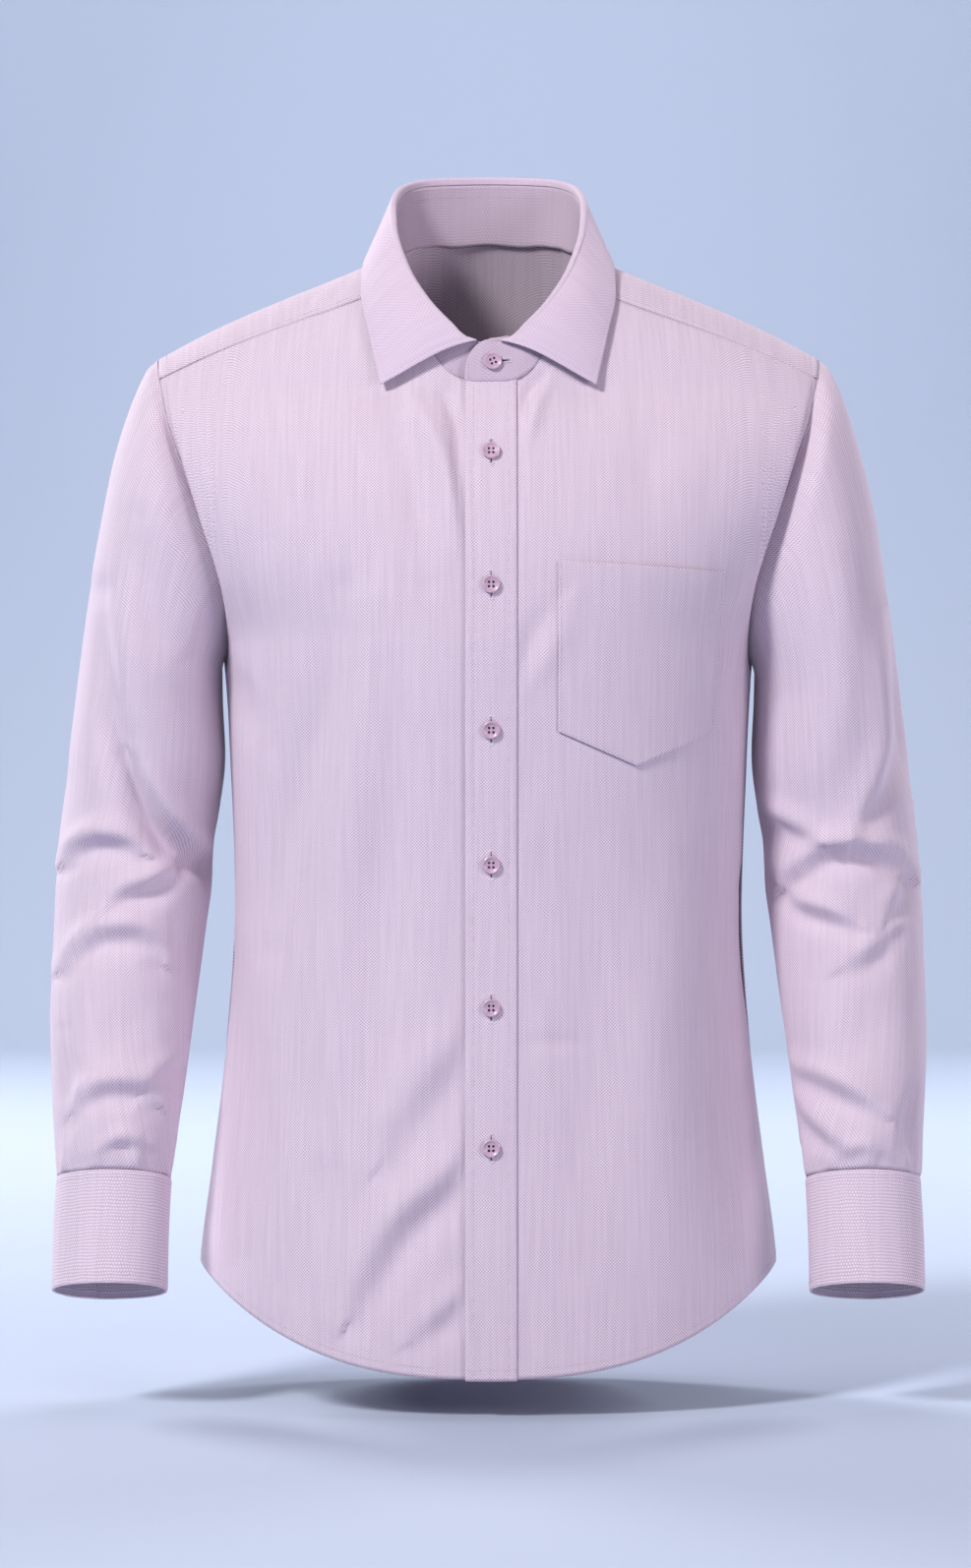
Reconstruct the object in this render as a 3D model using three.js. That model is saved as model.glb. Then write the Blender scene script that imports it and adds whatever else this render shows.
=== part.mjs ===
// A long sleeve dress shirt, buttoned up and filled out as it is when worn, with nothing inside it.
// X runs to the wearer's left, Y to the wearer's back and Z up, in millimetres. The origin is where
// the shirt hangs from the wearer: the middle of the neck, level with the tops of the shoulders.
// Each piece that a maker cuts and sews on is its own wall of cloth, a seam's width from the next.
import * as THREE from "three";

// Cloth
const CLOTH = 1; // wall of a single layer
const INTERLINED = 1.4; // wall of the collar, its stand and the cuffs, which are stiffened
const SEAM = 0.3; // space between pieces that are sewn together
const LAYER = CLOTH + SEAM; // one layer of cloth lying on another

// Body
const ARMPIT = -262; // height of the underarm seam
const ROUNDNESS = 2.3; // of a level section: 2 is an ellipse, and more is squarer
const FRONT_ARCH = -190; // heights where the front and back begin to curve over the shoulder
const BACK_ARCH = -150;
const HEM_FRONT = -754; // lowest point of each tail
const HEM_BACK = -762;
const HEM_SIDE = -685; // top of the tail's curve, at the side seam
const HEM_CURVE = 2.6; // how late the tail's curve rises towards the side

// Front opening
const PLACKET_EDGE = -15.5; // the wearer's right edge of the band, across the middle
const PLACKET_SEAM = 19; // where the band's other edge lies on the left front
const LEFT_FRONT_EDGE = 3; // the left front ends under the band
const UNDERLAP = 17; // how far the right front reaches past the middle, under the band
const UNDERLAP_EASE = 26; // over which the right front comes back up to the body's own surface

// Neck
const NECK_HALF_WIDTH = 64;
const NECK_FRONT_TURN = 66; // degrees that the neckline runs down from the shoulder's ridge in front
const NECK_BACK_TURN = 37.8; // and behind
const NECK_FRONT_SQUARENESS = 2.6;
const NECK_BACK_SQUARENESS = 2.2;
const YOKE_FRONT_TURN = 60; // degrees over the shoulder of the yoke's front seam; the ridge is at 90
const YOKE_BACK_SEAM = -80; // height of the yoke's seam across the back

// Level sections of the body: half its width, how far the front and back stand from the side seam,
// and where that seam lies front to back. Above the armpit they run on past the armhole.
const BODY = [
  { z: -790, half: 204, front: 119, back: 117, middle: 2 },
  { z: -685, half: 199, front: 118, back: 115, middle: 2 },
  { z: -620, half: 191, front: 117, back: 112, middle: 3 },
  { z: -540, half: 181.5, front: 115.5, back: 107, middle: 4 },
  { z: -440, half: 175, front: 115, back: 104, middle: 5 },
  { z: -340, half: 178.5, front: 119, back: 110, middle: 5 },
  { z: -262, half: 184, front: 122, back: 117, middle: 5 },
  { z: -215, half: 214, front: 121, back: 117, middle: 6 },
  { z: -165, half: 247, front: 114, back: 114, middle: 7 },
  { z: -115, half: 279.5, front: 101, back: 108, middle: 8 },
  { z: -84, half: 299, front: 88, back: 100, middle: 9 },
  { z: -40, half: 328, front: 87, back: 92, middle: 10 },
  { z: 30, half: 373, front: 86, back: 85, middle: 10 },
  { z: 90, half: 412, front: 86, back: 84, middle: 10 },
];

// The ridge along the top of the shoulder, from the middle of the neck outwards. The first row
// repeats another on the far side, so that the curve is level at the middle; other tables do so too.
const RIDGE = [
  { x: -32, z: 57 },
  { x: 0, z: 70 },
  { x: 32, z: 57 },
  { x: 50, z: 38 },
  { x: 64, z: 15 },
  { x: 76, z: 6 },
  { x: 89, z: 0 },
  { x: 138, z: -20 },
  { x: 169, z: -33 },
  { x: 197, z: -46 },
  { x: 225, z: -61 },
  { x: 260, z: -80 },
];

// The armhole's seam: how far out it lies at each height, in front and behind.
const ARMHOLE_TOP = -63.2; // where it crosses the ridge
const ARMHOLE = [
  { z: -262, front: 184, back: 184 },
  { z: -245, front: 185, back: 190 },
  { z: -226, front: 187.5, back: 198 },
  { z: -200, front: 194.5, back: 206 },
  { z: -176, front: 202.5, back: 212 },
  { z: -147, front: 211, back: 218 },
  { z: -115, front: 219.5, back: 223 },
  { z: -78, front: 226.5, back: 227.5 },
  { z: -63.2, front: 229, back: 229 },
];

// Sections of the sleeve below the armpit: the middle of each ring, half its width across the arm,
// half its depth front to back and how far it is tipped. The forearm comes forward, as it hangs.
const SLEEVE = [
  { z: -300, x: 235, y: 8, wide: 51, deep: 66, tip: 0 },
  { z: -345, x: 237, y: 10, wide: 54.2, deep: 64, tip: 0.4 },
  { z: -373, x: 240.6, y: 11, wide: 54.2, deep: 61.5, tip: 1.5 },
  { z: -400, x: 244.2, y: 11, wide: 53.4, deep: 59.5, tip: 3 },
  { z: -427, x: 245.6, y: 8.5, wide: 53.8, deep: 58, tip: 4.8 },
  { z: -454, x: 247.8, y: 4, wide: 52.6, deep: 56.5, tip: 6.8 },
  { z: -481, x: 249.6, y: -2.5, wide: 51.2, deep: 55, tip: 8.8 },
  { z: -509, x: 251.6, y: -9.5, wide: 49.8, deep: 53, tip: 10.8 },
  { z: -536, x: 253, y: -17, wide: 47.9, deep: 51, tip: 12.6 },
  { z: -563, x: 253.9, y: -25, wide: 45.6, deep: 48.5, tip: 14 },
  { z: -590, x: 254.7, y: -32.7, wide: 42.8, deep: 45.5, tip: 15 },
  { z: -614, x: 255, y: -40, wide: 40.2, deep: 41, tip: 15.2 },
  { z: -625.6, x: 255.3, y: -43.4, wide: 38.6, deep: 35.2, tip: 15.2 },
];
// The sleeve's head: which way the cloth leaves the armhole at each place round it, for the left
// sleeve. The turn is 0 at the top of the shoulder, 90 in front, 180 underneath and 270 behind.
const SLEEVE_HEAD = [
  { turn: 0, x: 0.63, y: 0, z: -0.78 },
  { turn: 40, x: 0.72, y: -0.3, z: -0.62 },
  { turn: 90, x: 0.6, y: -0.45, z: -0.66 },
  { turn: 140, x: 0.3, y: -0.3, z: -0.9 },
  { turn: 180, x: 0.02, y: 0, z: -1 },
  { turn: 220, x: 0.3, y: 0.3, z: -0.9 },
  { turn: 270, x: 0.62, y: 0.42, z: -0.66 },
  { turn: 320, x: 0.72, y: 0.28, z: -0.63 },
  { turn: 360, x: 0.63, y: 0, z: -0.78 },
];
const HEAD_PULL = 0.64; // how far that direction holds, as a share of the distance to the tube
const TUBE_PULL = 0.66; // and how far the tube's own direction reaches up
const TUBE_TOP = -300; // height of the sleeve's first full ring

// Cuff: a band wrapped round the wrist, its ends lapped and buttoned at the outer back.
const CUFF_TOP = { x: 255.3, y: -43.5, z: -626 };
const CUFF_FOOT = { x: 256.6, y: -64, z: -700.5 };
const CUFF_WIDE = 39.3;
const CUFF_DEEP = 35.8;
const CUFF_TIP = 15.2; // degrees, as the forearm's
const CUFF_LAP_FROM = 288; // degrees round the wrist, as round the sleeve's head
const CUFF_LAP = 34; // degrees of overlap
const CUFF_LAP_RISE = 32; // degrees over which the upper end climbs onto the lower one

// The collar's fold, from the middle of the back to the middle of the front. The turn is that of
// the neckline below it: 90 is the back, 0 the shoulder and -90 the front.
const FOLD = [
  { turn: -100, x: -15.5, y: -67.5, z: -52.5 },
  { turn: -90, x: 0, y: -68.5, z: -55 },
  { turn: -80, x: 15.5, y: -67.5, z: -52.5 },
  { turn: -70, x: 25.5, y: -64.5, z: -43.5 },
  { turn: -55, x: 40.5, y: -56, z: -27 },
  { turn: -35, x: 56, y: -38.5, z: -1 },
  { turn: -15, x: 65, y: -13, z: 29 },
  { turn: 0, x: 66, y: 6, z: 46 },
  { turn: 25, x: 61, y: 31, z: 60 },
  { turn: 55, x: 40, y: 51, z: 68 },
  { turn: 90, x: 0, y: 58, z: 70 },
  { turn: 125, x: -40, y: 51, z: 68 },
];

// The collar's outer edge. The points are at the first row.
const COLLAR_END = -85; // where the leaf stops short of the middle of the front
const COLLAR_EDGE = [
  { turn: -85, x: 73.6, y: -72, z: -86.7 },
  { turn: -65, x: 77, y: -64, z: -73 },
  { turn: -50, x: 81.5, y: -54.5, z: -52 },
  { turn: -25, x: 87.5, y: -33, z: -20 },
  { turn: -12, x: 87.3, y: -14, z: -2.5 },
  { turn: 0, x: 86, y: 7, z: 5 },
  { turn: 30, x: 80, y: 39, z: 4 },
  { turn: 60, x: 45, y: 63, z: 9.5 },
  { turn: 90, x: 0, y: 72.5, z: 14 },
  { turn: 120, x: -45, y: 63, z: 9.5 },
];
const COLLAR_ROLL = 2.3; // radius of the fold
const COLLAR_INSIDE = 5.5; // how far the leaf reaches down inside, to the stand
const COLLAR_CROWN = 2.5; // how far the leaf bows out between its fold and its edge, in front
const COLLAR_CROWN_BACK = 0.6; // and elsewhere
const COLLAR_SWEEP = 3; // how far its front edge curves up between the point and the fold

// Chest pocket, on the left front. Corners as seen from the front.
const POCKET = {
  left: 46.5,
  rightTop: 159,
  rightFoot: 153,
  top: -208,
  topDrop: 6,
  corner: -322,
  tip: -345,
};

const POCKET_EASE = 0.55; // the pocket stands a little off the front

// Buttons
const BUTTON_RADIUS = 6.1;
const BUTTON_THICK = 2.4;
const BUTTON_HOLE = 0.85;
const BUTTON_HOLE_AT = 1.55; // each hole's distance from the middle, across and up
const BUTTON_MIDDLE = 1.8; // the row's place across the front
const BUTTON_HEIGHTS = [-134.5, -224, -321, -411, -506.5, -600];

const CREAM = 0xd9c8dd; // the cloth's two-tone lilac seen from a step away
const MAUVE = 0xc1a1b8;
const cloth = () => new THREE.MeshStandardMaterial({ color: CREAM, roughness: 0.85 });
const shell = () => new THREE.MeshStandardMaterial({ color: MAUVE, roughness: 0.35 });

const degrees = THREE.MathUtils.degToRad;
const { lerp, clamp } = THREE.MathUtils;
const ease = (from, to, v) => THREE.MathUtils.smoothstep(v, from, to);

// A smooth curve through one column of a table, which never overshoots its rows.
function through(table, at, value) {
  const rows = [...table].sort((a, b) => a[at] - b[at]);
  const steps = rows.slice(1).map((row, i) => row[at] - rows[i][at]);
  const slopes = steps.map((step, i) => (rows[i + 1][value] - rows[i][value]) / step);
  const bends = rows.map((row, i) => {
    const before = slopes[Math.max(0, i - 1)];
    const after = slopes[Math.min(i, slopes.length - 1)];
    return before * after > 0 ? (2 * before * after) / (before + after) : 0;
  });
  return (v) => {
    const above = rows.findIndex((row) => v < row[at]);
    const i = above < 0 ? steps.length - 1 : Math.max(0, above - 1);
    const t = clamp((v - rows[i][at]) / steps[i], 0, 1);
    const bow = (bends[i] - slopes[i]) * (1 - t) - (bends[i + 1] - slopes[i]) * t;
    return lerp(rows[i][value], rows[i + 1][value], t) + bow * t * (1 - t) * steps[i];
  };
}

// The body's form
const halfWidth = through(BODY, "z", "half");
const frontDepth = through(BODY, "z", "front");
const backDepth = through(BODY, "z", "back");
const middleDepth = through(BODY, "z", "middle");
const ridgeHeight = through(RIDGE, "x", "z");
const ridge = (x) => ridgeHeight(Math.abs(x));
const archFoot = (side) => (side < 0 ? FRONT_ARCH : BACK_ARCH);

// A point of the body's outer surface. The side is -1 in front and 1 behind.
function onBody(x, z, side) {
  const across = Math.sqrt(Math.max(0, 1 - (Math.abs(x) / halfWidth(z)) ** ROUNDNESS));
  const foot = archFoot(side);
  const rise = clamp((z - foot) / (ridge(x) - foot), 0, 1);
  const depth = (side < 0 ? frontDepth : backDepth)(z);
  return new THREE.Vector3(
    x,
    middleDepth(z) + side * depth * across * Math.sqrt(1 - rise * rise),
    z,
  );
}

// The same surface by how far a point has turned over the shoulder: 0 in front, 90 on the ridge.
const turnedHeight = (x, turn) => {
  const foot = archFoot(turn < 90 ? -1 : 1);
  return foot + (ridge(x) - foot) * Math.sin(degrees(turn));
};
const overShoulder = (x, turn) => onBody(x, turnedHeight(x, turn), turn < 90 ? -1 : 1);
const turnAt = (x, z, side) => {
  const foot = archFoot(side);
  const turn = (Math.asin(clamp((z - foot) / (ridge(x) - foot), 0, 1)) * 180) / Math.PI;
  return side < 0 ? turn : 180 - turn;
};

// The neckline, as the place across and the turn over the shoulder. The angle is 90 at the middle
// of the back, 0 on the ridge and -90 at the middle of the front.
function neckline(angle) {
  const square = angle < 0 ? NECK_FRONT_SQUARENESS : NECK_BACK_SQUARENESS;
  const reach = angle < 0 ? -NECK_FRONT_TURN : NECK_BACK_TURN;
  const a = degrees(angle);
  return {
    x: NECK_HALF_WIDTH * Math.abs(Math.cos(a)) ** (2 / square),
    turn: 90 + reach * Math.abs(Math.sin(a)) ** (2 / square),
  };
}
const necklinePoint = (angle) => {
  const at = neckline(angle);
  return overShoulder(at.x, at.turn);
};

// The top edge of a front: the neckline near the middle, and then the yoke's seam.
const yokeSeamShare = ((90 - YOKE_FRONT_TURN) / NECK_FRONT_TURN) ** NECK_FRONT_SQUARENESS;
const NECK_POINT = NECK_HALF_WIDTH * (1 - yokeSeamShare) ** (1 / NECK_FRONT_SQUARENESS);
function frontTop(x) {
  const away = Math.abs(x);
  if (away >= NECK_POINT) return turnedHeight(away, YOKE_FRONT_TURN);
  const share = 1 - (away / NECK_HALF_WIDTH) ** NECK_FRONT_SQUARENESS;
  const turn = 90 - NECK_FRONT_TURN * share ** (1 / NECK_FRONT_SQUARENESS);
  return turnedHeight(away, turn);
}

const armholeFront = through(ARMHOLE, "z", "front");
const armholeBack = through(ARMHOLE, "z", "back");
const armholeAt = (z, side) => (side < 0 ? armholeFront : armholeBack)(z);

// A level section's angle at a place across it: 90 degrees at the middle, 0 at the side seam.
const sectionAngle = (x, z) =>
  Math.acos(clamp(Math.sign(x) * (Math.abs(x) / halfWidth(z)) ** (ROUNDNESS / 2), -1, 1));
const sectionX = (angle, z) =>
  halfWidth(z) * Math.sign(Math.cos(angle)) * Math.abs(Math.cos(angle)) ** (2 / ROUNDNESS);
const outerAngle = (z, side) => (z > ARMPIT ? sectionAngle(armholeAt(z, side), z) : 0);

// A column of a body panel, from the hem to the top edge: how far across it lies at each height.
// The share is 0 at the panel's inner edge and 1 at the side seam and armhole.
const columnX = (edge, share, z, side) =>
  sectionX(lerp(sectionAngle(edge, z), outerAngle(z, side), share), z);
const hemHeight = (edge, share, side) => {
  const x = Math.abs(columnX(edge, share, HEM_SIDE, side)) / halfWidth(HEM_SIDE);
  const low = side < 0 ? HEM_FRONT : HEM_BACK;
  return low + (HEM_SIDE - low) * x ** HEM_CURVE;
};

// The height at which a column meets the panel's top edge, found by halving.
function columnTop(edge, share, side, topOf) {
  let low = ARMPIT;
  let high = 60;
  for (let i = 0; i < 40; i++) {
    const z = (low + high) / 2;
    if (z < topOf(columnX(edge, share, z, side))) low = z;
    else high = z;
  }
  return low;
}

// A cloth wall: a grid of points on its outer face, lifted along the face's normal, and the same
// grid moved in by the wall's thickness. The lift is a number or a function of the grid's place.
function wall(name, { columns, rows, point, lift = 0, thick = CLOTH, round = false, material }) {
  const liftAt = typeof lift === "function" ? lift : () => lift;
  const step = 1e-3;
  const outer = [];
  const inner = [];
  const us = round ? columns.slice(0, -1) : columns;
  for (const v of rows)
    for (const u of us) {
      const [before, after] = round ? [u - step, u + step] : [Math.max(0, u - step), Math.min(1, u + step)];
      const across = point(after, v).sub(point(before, v));
      const along = point(u, Math.min(1, v + step)).sub(point(u, Math.max(0, v - step)));
      const normal = across.cross(along).normalize();
      const place = point(u, v).addScaledVector(normal, liftAt(u, v));
      outer.push(place);
      inner.push(place.clone().addScaledVector(normal, -thick));
    }
  const wide = us.length;
  const high = rows.length;
  const count = wide * high;
  const index = [];
  const face = (a, b, c, d) => index.push(a, b, c, a, c, d);
  const at = (i, j) => j * wide + (i % wide);
  const cells = round ? wide : wide - 1;
  for (let j = 0; j < high - 1; j++)
    for (let i = 0; i < cells; i++) {
      face(at(i, j), at(i + 1, j), at(i + 1, j + 1), at(i, j + 1));
      face(count + at(i, j), count + at(i, j + 1), count + at(i + 1, j + 1), count + at(i + 1, j));
    }
  for (let i = 0; i < cells; i++) {
    face(at(i + 1, 0), at(i, 0), count + at(i, 0), count + at(i + 1, 0));
    const top = high - 1;
    face(at(i, top), at(i + 1, top), count + at(i + 1, top), count + at(i, top));
  }
  if (!round)
    for (let j = 0; j < high - 1; j++) {
      face(at(0, j), at(0, j + 1), count + at(0, j + 1), count + at(0, j));
      const end = wide - 1;
      face(at(end, j + 1), at(end, j), count + at(end, j), count + at(end, j + 1));
    }
  const positions = [...outer, ...inner].flatMap((p) => [p.x, p.y, p.z]);
  const geometry = new THREE.BufferGeometry();
  geometry.setAttribute("position", new THREE.Float32BufferAttribute(positions, 3));
  geometry.setIndex(index);
  geometry.computeVertexNormals();
  const mesh = new THREE.Mesh(geometry, material ?? cloth());
  mesh.name = name;
  return mesh;
}

const even = (count) => Array.from({ length: count + 1 }, (_, i) => i / count);

// Rows of a body panel: some below the armpit, some above it.
const ARMPIT_ROW = 0.62;
const bodyRows = (below, above) => [
  ...even(below).map((v) => v * ARMPIT_ROW),
  ...even(above).slice(1).map((v) => ARMPIT_ROW + v * (1 - ARMPIT_ROW)),
];

// A point of a body panel by its share across and up, from the hem to its top edge.
function panelPoint(edge, side, topOf) {
  const tops = new Map();
  return (share, v) => {
    if (!tops.has(share)) tops.set(share, columnTop(edge, share, side, topOf));
    const hem = hemHeight(edge, share, side);
    const z =
      v < ARMPIT_ROW
        ? lerp(hem, ARMPIT, v / ARMPIT_ROW)
        : lerp(ARMPIT, tops.get(share) - SEAM, (v - ARMPIT_ROW) / (1 - ARMPIT_ROW));
    return onBody(columnX(edge, share, z, side), z, side);
  };
}

// The share of a column that passes through a place on the top edge.
function shareThrough(edge, x, side, topOf) {
  const z = topOf(x);
  const from = sectionAngle(edge, z);
  return (sectionAngle(x, z) - from) / (outerAngle(z, side) - from);
}

const shirt = new THREE.Group();
shirt.name = "dress_shirt";

// Folds of the body, as seen from the front: soft troughs, or ridges where the depth is above 0.
const BODY_FOLDS = [
  { x1: -102, z1: -232, x2: -156, z2: -480, wide: 15, depth: -4.5 },
  { x1: -128, z1: -300, x2: -172, z2: -470, wide: 12, depth: 2 },
  { x1: -36, z1: -98, x2: -18, z2: -150, wide: 7, depth: -3 },
  { x1: -47, z1: -110, x2: -24, z2: -175, wide: 8, depth: 2.5 },
  { x1: -22, z1: -608, x2: -84, z2: -682, wide: 9, depth: 4 },
  { x1: -20, z1: -640, x2: -70, z2: -715, wide: 12, depth: -3.5 },
  { x1: -20, z1: -702, x2: -48, z2: -742, wide: 8, depth: 2.5 },
  { x1: -20, z1: -520, x2: -52, z2: -572, wide: 9, depth: 1.6 },
  { x1: -182, z1: -70, x2: -180, z2: -190, wide: 8, depth: -3 },
  { x1: -197, z1: -90, x2: -190, z2: -190, wide: 7, depth: 1.5 },
  { x1: 182, z1: -70, x2: 180, z2: -190, wide: 9, depth: -2.5 },
  { x1: 26, z1: -282, x2: 62, z2: -228, wide: 9, depth: 1.4 },
  { x1: 150, z1: -380, x2: 118, z2: -640, wide: 20, depth: -3 },
  { x1: 60, z1: -420, x2: 74, z2: -700, wide: 18, depth: 2 },
];
const BACK_FOLDS = [
  { x1: -60, z1: -120, x2: -96, z2: -420, wide: 16, depth: -3.5 },
  { x1: 64, z1: -130, x2: 92, z2: -400, wide: 15, depth: -3.5 },
  { x1: 10, z1: -380, x2: -30, z2: -690, wide: 18, depth: -3 },
  { x1: -120, z1: -440, x2: -104, z2: -700, wide: 16, depth: 3 },
  { x1: 118, z1: -430, x2: 108, z2: -710, wide: 17, depth: 3 },
  { x1: 150, z1: -120, x2: 172, z2: -230, wide: 10, depth: -3 },
  { x1: -152, z1: -118, x2: -174, z2: -236, wide: 10, depth: -3 },
];

// How far the folds lift a place: each is a soft groove round a line, fading at both ends.
function foldLift(folds, x, z) {
  let lift = 0;
  for (const fold of folds) {
    const dx = fold.x2 - fold.x1;
    const dz = fold.z2 - fold.z1;
    const along = ((x - fold.x1) * dx + (z - fold.z1) * dz) / (dx * dx + dz * dz);
    const off = ((x - fold.x1) * dz - (z - fold.z1) * dx) / Math.hypot(dx, dz) / fold.wide;
    const past = (Math.max(0, -along, along - 1) * Math.hypot(dx, dz)) / fold.wide / 1.6;
    const fade = 0.35 + 0.65 * Math.sin(Math.PI * clamp(along, 0.12, 0.88));
    lift += fold.depth * fade * Math.exp(-off * off - past * past);
  }
  return lift;
}
// Folds die out under the buttoned band, which is stiffer.
const frontLift = (p) => foldLift(BODY_FOLDS, p.x, p.z) * ease(20, 34, Math.abs(p.x - 2));

// The two fronts. The right one dips under the band and the left front's edge.
const frontSide = -1;
const PANEL_COLUMNS_IN = 4; // columns under the neckline, and out from there to the armhole
const PANEL_COLUMNS_OUT = 10;
function frontPanel(name, sign, edge) {
  const neckShare = shareThrough(edge, NECK_POINT, frontSide, frontTop);
  const toward = panelPoint(edge, frontSide, frontTop);
  const point = (u, v) => {
    const p = toward(sign > 0 ? u : 1 - u, v);
    p.x *= sign;
    return p;
  };
  const gap = SEAM / 2 / 300; // the side seam's space, as a share of the panel's width
  const shares = [
    ...even(PANEL_COLUMNS_IN).map((s) => s * neckShare),
    ...even(PANEL_COLUMNS_OUT).slice(1).map((s) => lerp(neckShare, 1 - gap * 2, s)),
  ];
  const columns = sign > 0 ? shares : shares.map((s) => 1 - s).reverse();
  const dip = (x) => (sign > 0 ? 0 : -LAYER * (1 - ease(-PLACKET_EDGE, -PLACKET_EDGE + UNDERLAP_EASE, -x)));
  const lift = (u, v) => {
    const p = point(u, v);
    return frontLift(p) + dip(p.x);
  };
  return wall(name, { columns, rows: bodyRows(13, 9), point, lift });
}
shirt.add(frontPanel("front_left", 1, LEFT_FRONT_EDGE));
shirt.add(frontPanel("front_right", -1, -UNDERLAP));

// The band of the front opening, which carries the buttonholes: a layer on top of the left front.
// Its rows keep to the fronts' rows.
const bandPoint = (u, v) => {
  const x = lerp(PLACKET_EDGE, PLACKET_SEAM, u);
  const rise = (Math.abs(x) / halfWidth(HEM_SIDE)) ** HEM_CURVE;
  const low = lerp(HEM_FRONT, HEM_SIDE, rise) - 1;
  const z =
    v < ARMPIT_ROW
      ? lerp(low, ARMPIT, v / ARMPIT_ROW)
      : lerp(ARMPIT, frontTop(x) - SEAM, (v - ARMPIT_ROW) / (1 - ARMPIT_ROW));
  return onBody(x, z, frontSide);
};
shirt.add(
  wall("placket", { columns: even(3), rows: bodyRows(13, 9), point: bandPoint, lift: LAYER + 0.1 }),
);

// The back, between the two side seams and under the yoke.
const backSide = 1;
const BACK_COLUMNS = 22;
const backTop = () => YOKE_BACK_SEAM;
const backHalf = panelPoint(0, backSide, backTop);
const backPoint = (u, v) => {
  const p = backHalf(Math.abs(1 - 2 * u), v);
  p.x *= Math.sign(0.5 - u);
  return p;
};
const backLift = (u, v) => {
  const p = backPoint(u, v);
  return foldLift(BACK_FOLDS, p.x, p.z);
};
const BACK_TRIM = 0.0006; // the side seams' space, as a share of the back's width
shirt.add(
  wall("back", {
    columns: even(BACK_COLUMNS).map((u) => lerp(BACK_TRIM, 1 - BACK_TRIM, u)),
    rows: bodyRows(12, 7),
    point: backPoint,
    lift: backLift,
  }),
);

// The yoke: over both shoulders and across the top of the back. Its inner edge is the neckline
// and its outer edge runs up one armhole, along the seam across the back and down the other.
const frontTip = armholeFront(-78);
const frontTipTurn = YOKE_FRONT_TURN;
const YOKE_SIDE_SHARE = 0.3; // of the columns at each armhole; the rest are along the back seam
const YOKE_SIDE_ANGLE = 28; // the neckline's angle where those columns change over
const yokeFrontAngle = (Math.asin(((90 - YOKE_FRONT_TURN) / NECK_FRONT_TURN) ** (NECK_FRONT_SQUARENESS / 2)) * -180) / Math.PI;
function armholePoint(angle) {
  // 0 is the top of the shoulder, 90 the front, 180 the underarm and 270 the back.
  const z = lerp(ARMPIT, ARMHOLE_TOP, (1 + Math.cos(degrees(angle))) / 2);
  const side = Math.sin(degrees(angle)) >= 0 ? -1 : 1;
  return { x: armholeAt(z, side), z, side };
}
const backTip = armholeBack(YOKE_BACK_SEAM);
function yokePlace(u, v) {
  // u runs from the left front seam, round the back, to the right one; v from the outer edge in.
  const half = Math.abs(1 - 2 * u);
  const shareIn = 1 - half; // 0 at a front seam, 1 at the middle of the back
  let outer;
  let inner;
  if (shareIn < YOKE_SIDE_SHARE) {
    const s = shareIn / YOKE_SIDE_SHARE;
    const from = YOKE_FRONT_TURN;
    const to = turnAt(backTip, YOKE_BACK_SEAM + SEAM, 1);
    const turn = lerp(from, to, s);
    const x = lerp(lerp(frontTip, 229, Math.sin(Math.PI * s)), backTip, s) - SEAM;
    outer = { x, turn };
    inner = neckline(lerp(yokeFrontAngle, YOKE_SIDE_ANGLE, s));
  } else {
    const s = (shareIn - YOKE_SIDE_SHARE) / (1 - YOKE_SIDE_SHARE);
    const x = lerp(backTip - SEAM, 0, s);
    outer = { x, turn: turnAt(x, YOKE_BACK_SEAM + SEAM, 1) };
    inner = neckline(lerp(YOKE_SIDE_ANGLE, 90, s));
  }
  const x = lerp(outer.x, inner.x, v);
  return { x: x * Math.sign(0.5 - u), turn: lerp(outer.turn, inner.turn, v) };
}
const yokePoint = (u, v) => {
  const at = yokePlace(u, v);
  return overShoulder(at.x, at.turn);
};
shirt.add(wall("yoke", { columns: even(38), rows: even(5), point: yokePoint }));

// A piece of the other side: the same form mirrored across the middle.
const mirrored = (point) => (u, v) => {
  const p = point(1 - u, v);
  p.x *= -1;
  return p;
};
const mirroredLift = (lift) => (u, v) => lift(1 - u, v);

// Sleeves. One ring of the tube, and the head that joins the armhole to the tube's first ring.
const tube = Object.fromEntries(["x", "y", "wide", "deep", "tip"].map((key) => [key, through(SLEEVE, "z", key)]));
const head = Object.fromEntries(["x", "y", "z"].map((key) => [key, through(SLEEVE_HEAD, "turn", key)]));
const ringPoint = (ring, turn) => {
  const forward = ring.deep * Math.sin(degrees(turn));
  return new THREE.Vector3(
    ring.x + ring.wide * Math.cos(degrees(turn)),
    ring.y - forward * Math.cos(degrees(ring.tip)),
    ring.z + forward * Math.sin(degrees(ring.tip)),
  );
};
const tubeRing = (z) => ({ z, x: tube.x(z), y: tube.y(z), wide: tube.wide(z), deep: tube.deep(z), tip: tube.tip(z) });
const tubePoint = (turn, z) => ringPoint(tubeRing(z), turn);
function headPoint(turn, t) {
  const at = armholePoint(turn);
  const from = onBody(at.x, at.z, at.side);
  from.x += 2.5 * SEAM;
  const to = tubePoint(turn, TUBE_TOP);
  const reach = from.distanceTo(to);
  const leave = new THREE.Vector3(head.x(turn), head.y(turn), head.z(turn)).setLength(reach * HEAD_PULL);
  const arrive = tubePoint(turn, TUBE_TOP - 1).sub(to).setLength(reach * TUBE_PULL);
  return from
    .multiplyScalar(2 * t ** 3 - 3 * t ** 2 + 1)
    .addScaledVector(leave, t ** 3 - 2 * t ** 2 + t)
    .addScaledVector(to, 3 * t ** 2 - 2 * t ** 3)
    .addScaledVector(arrive, t ** 3 - t ** 2);
}
const SLEEVE_FOOT = SLEEVE[SLEEVE.length - 1].z;
const HEAD_FROM = 0.58; // share of the rows that are in the tube
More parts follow.
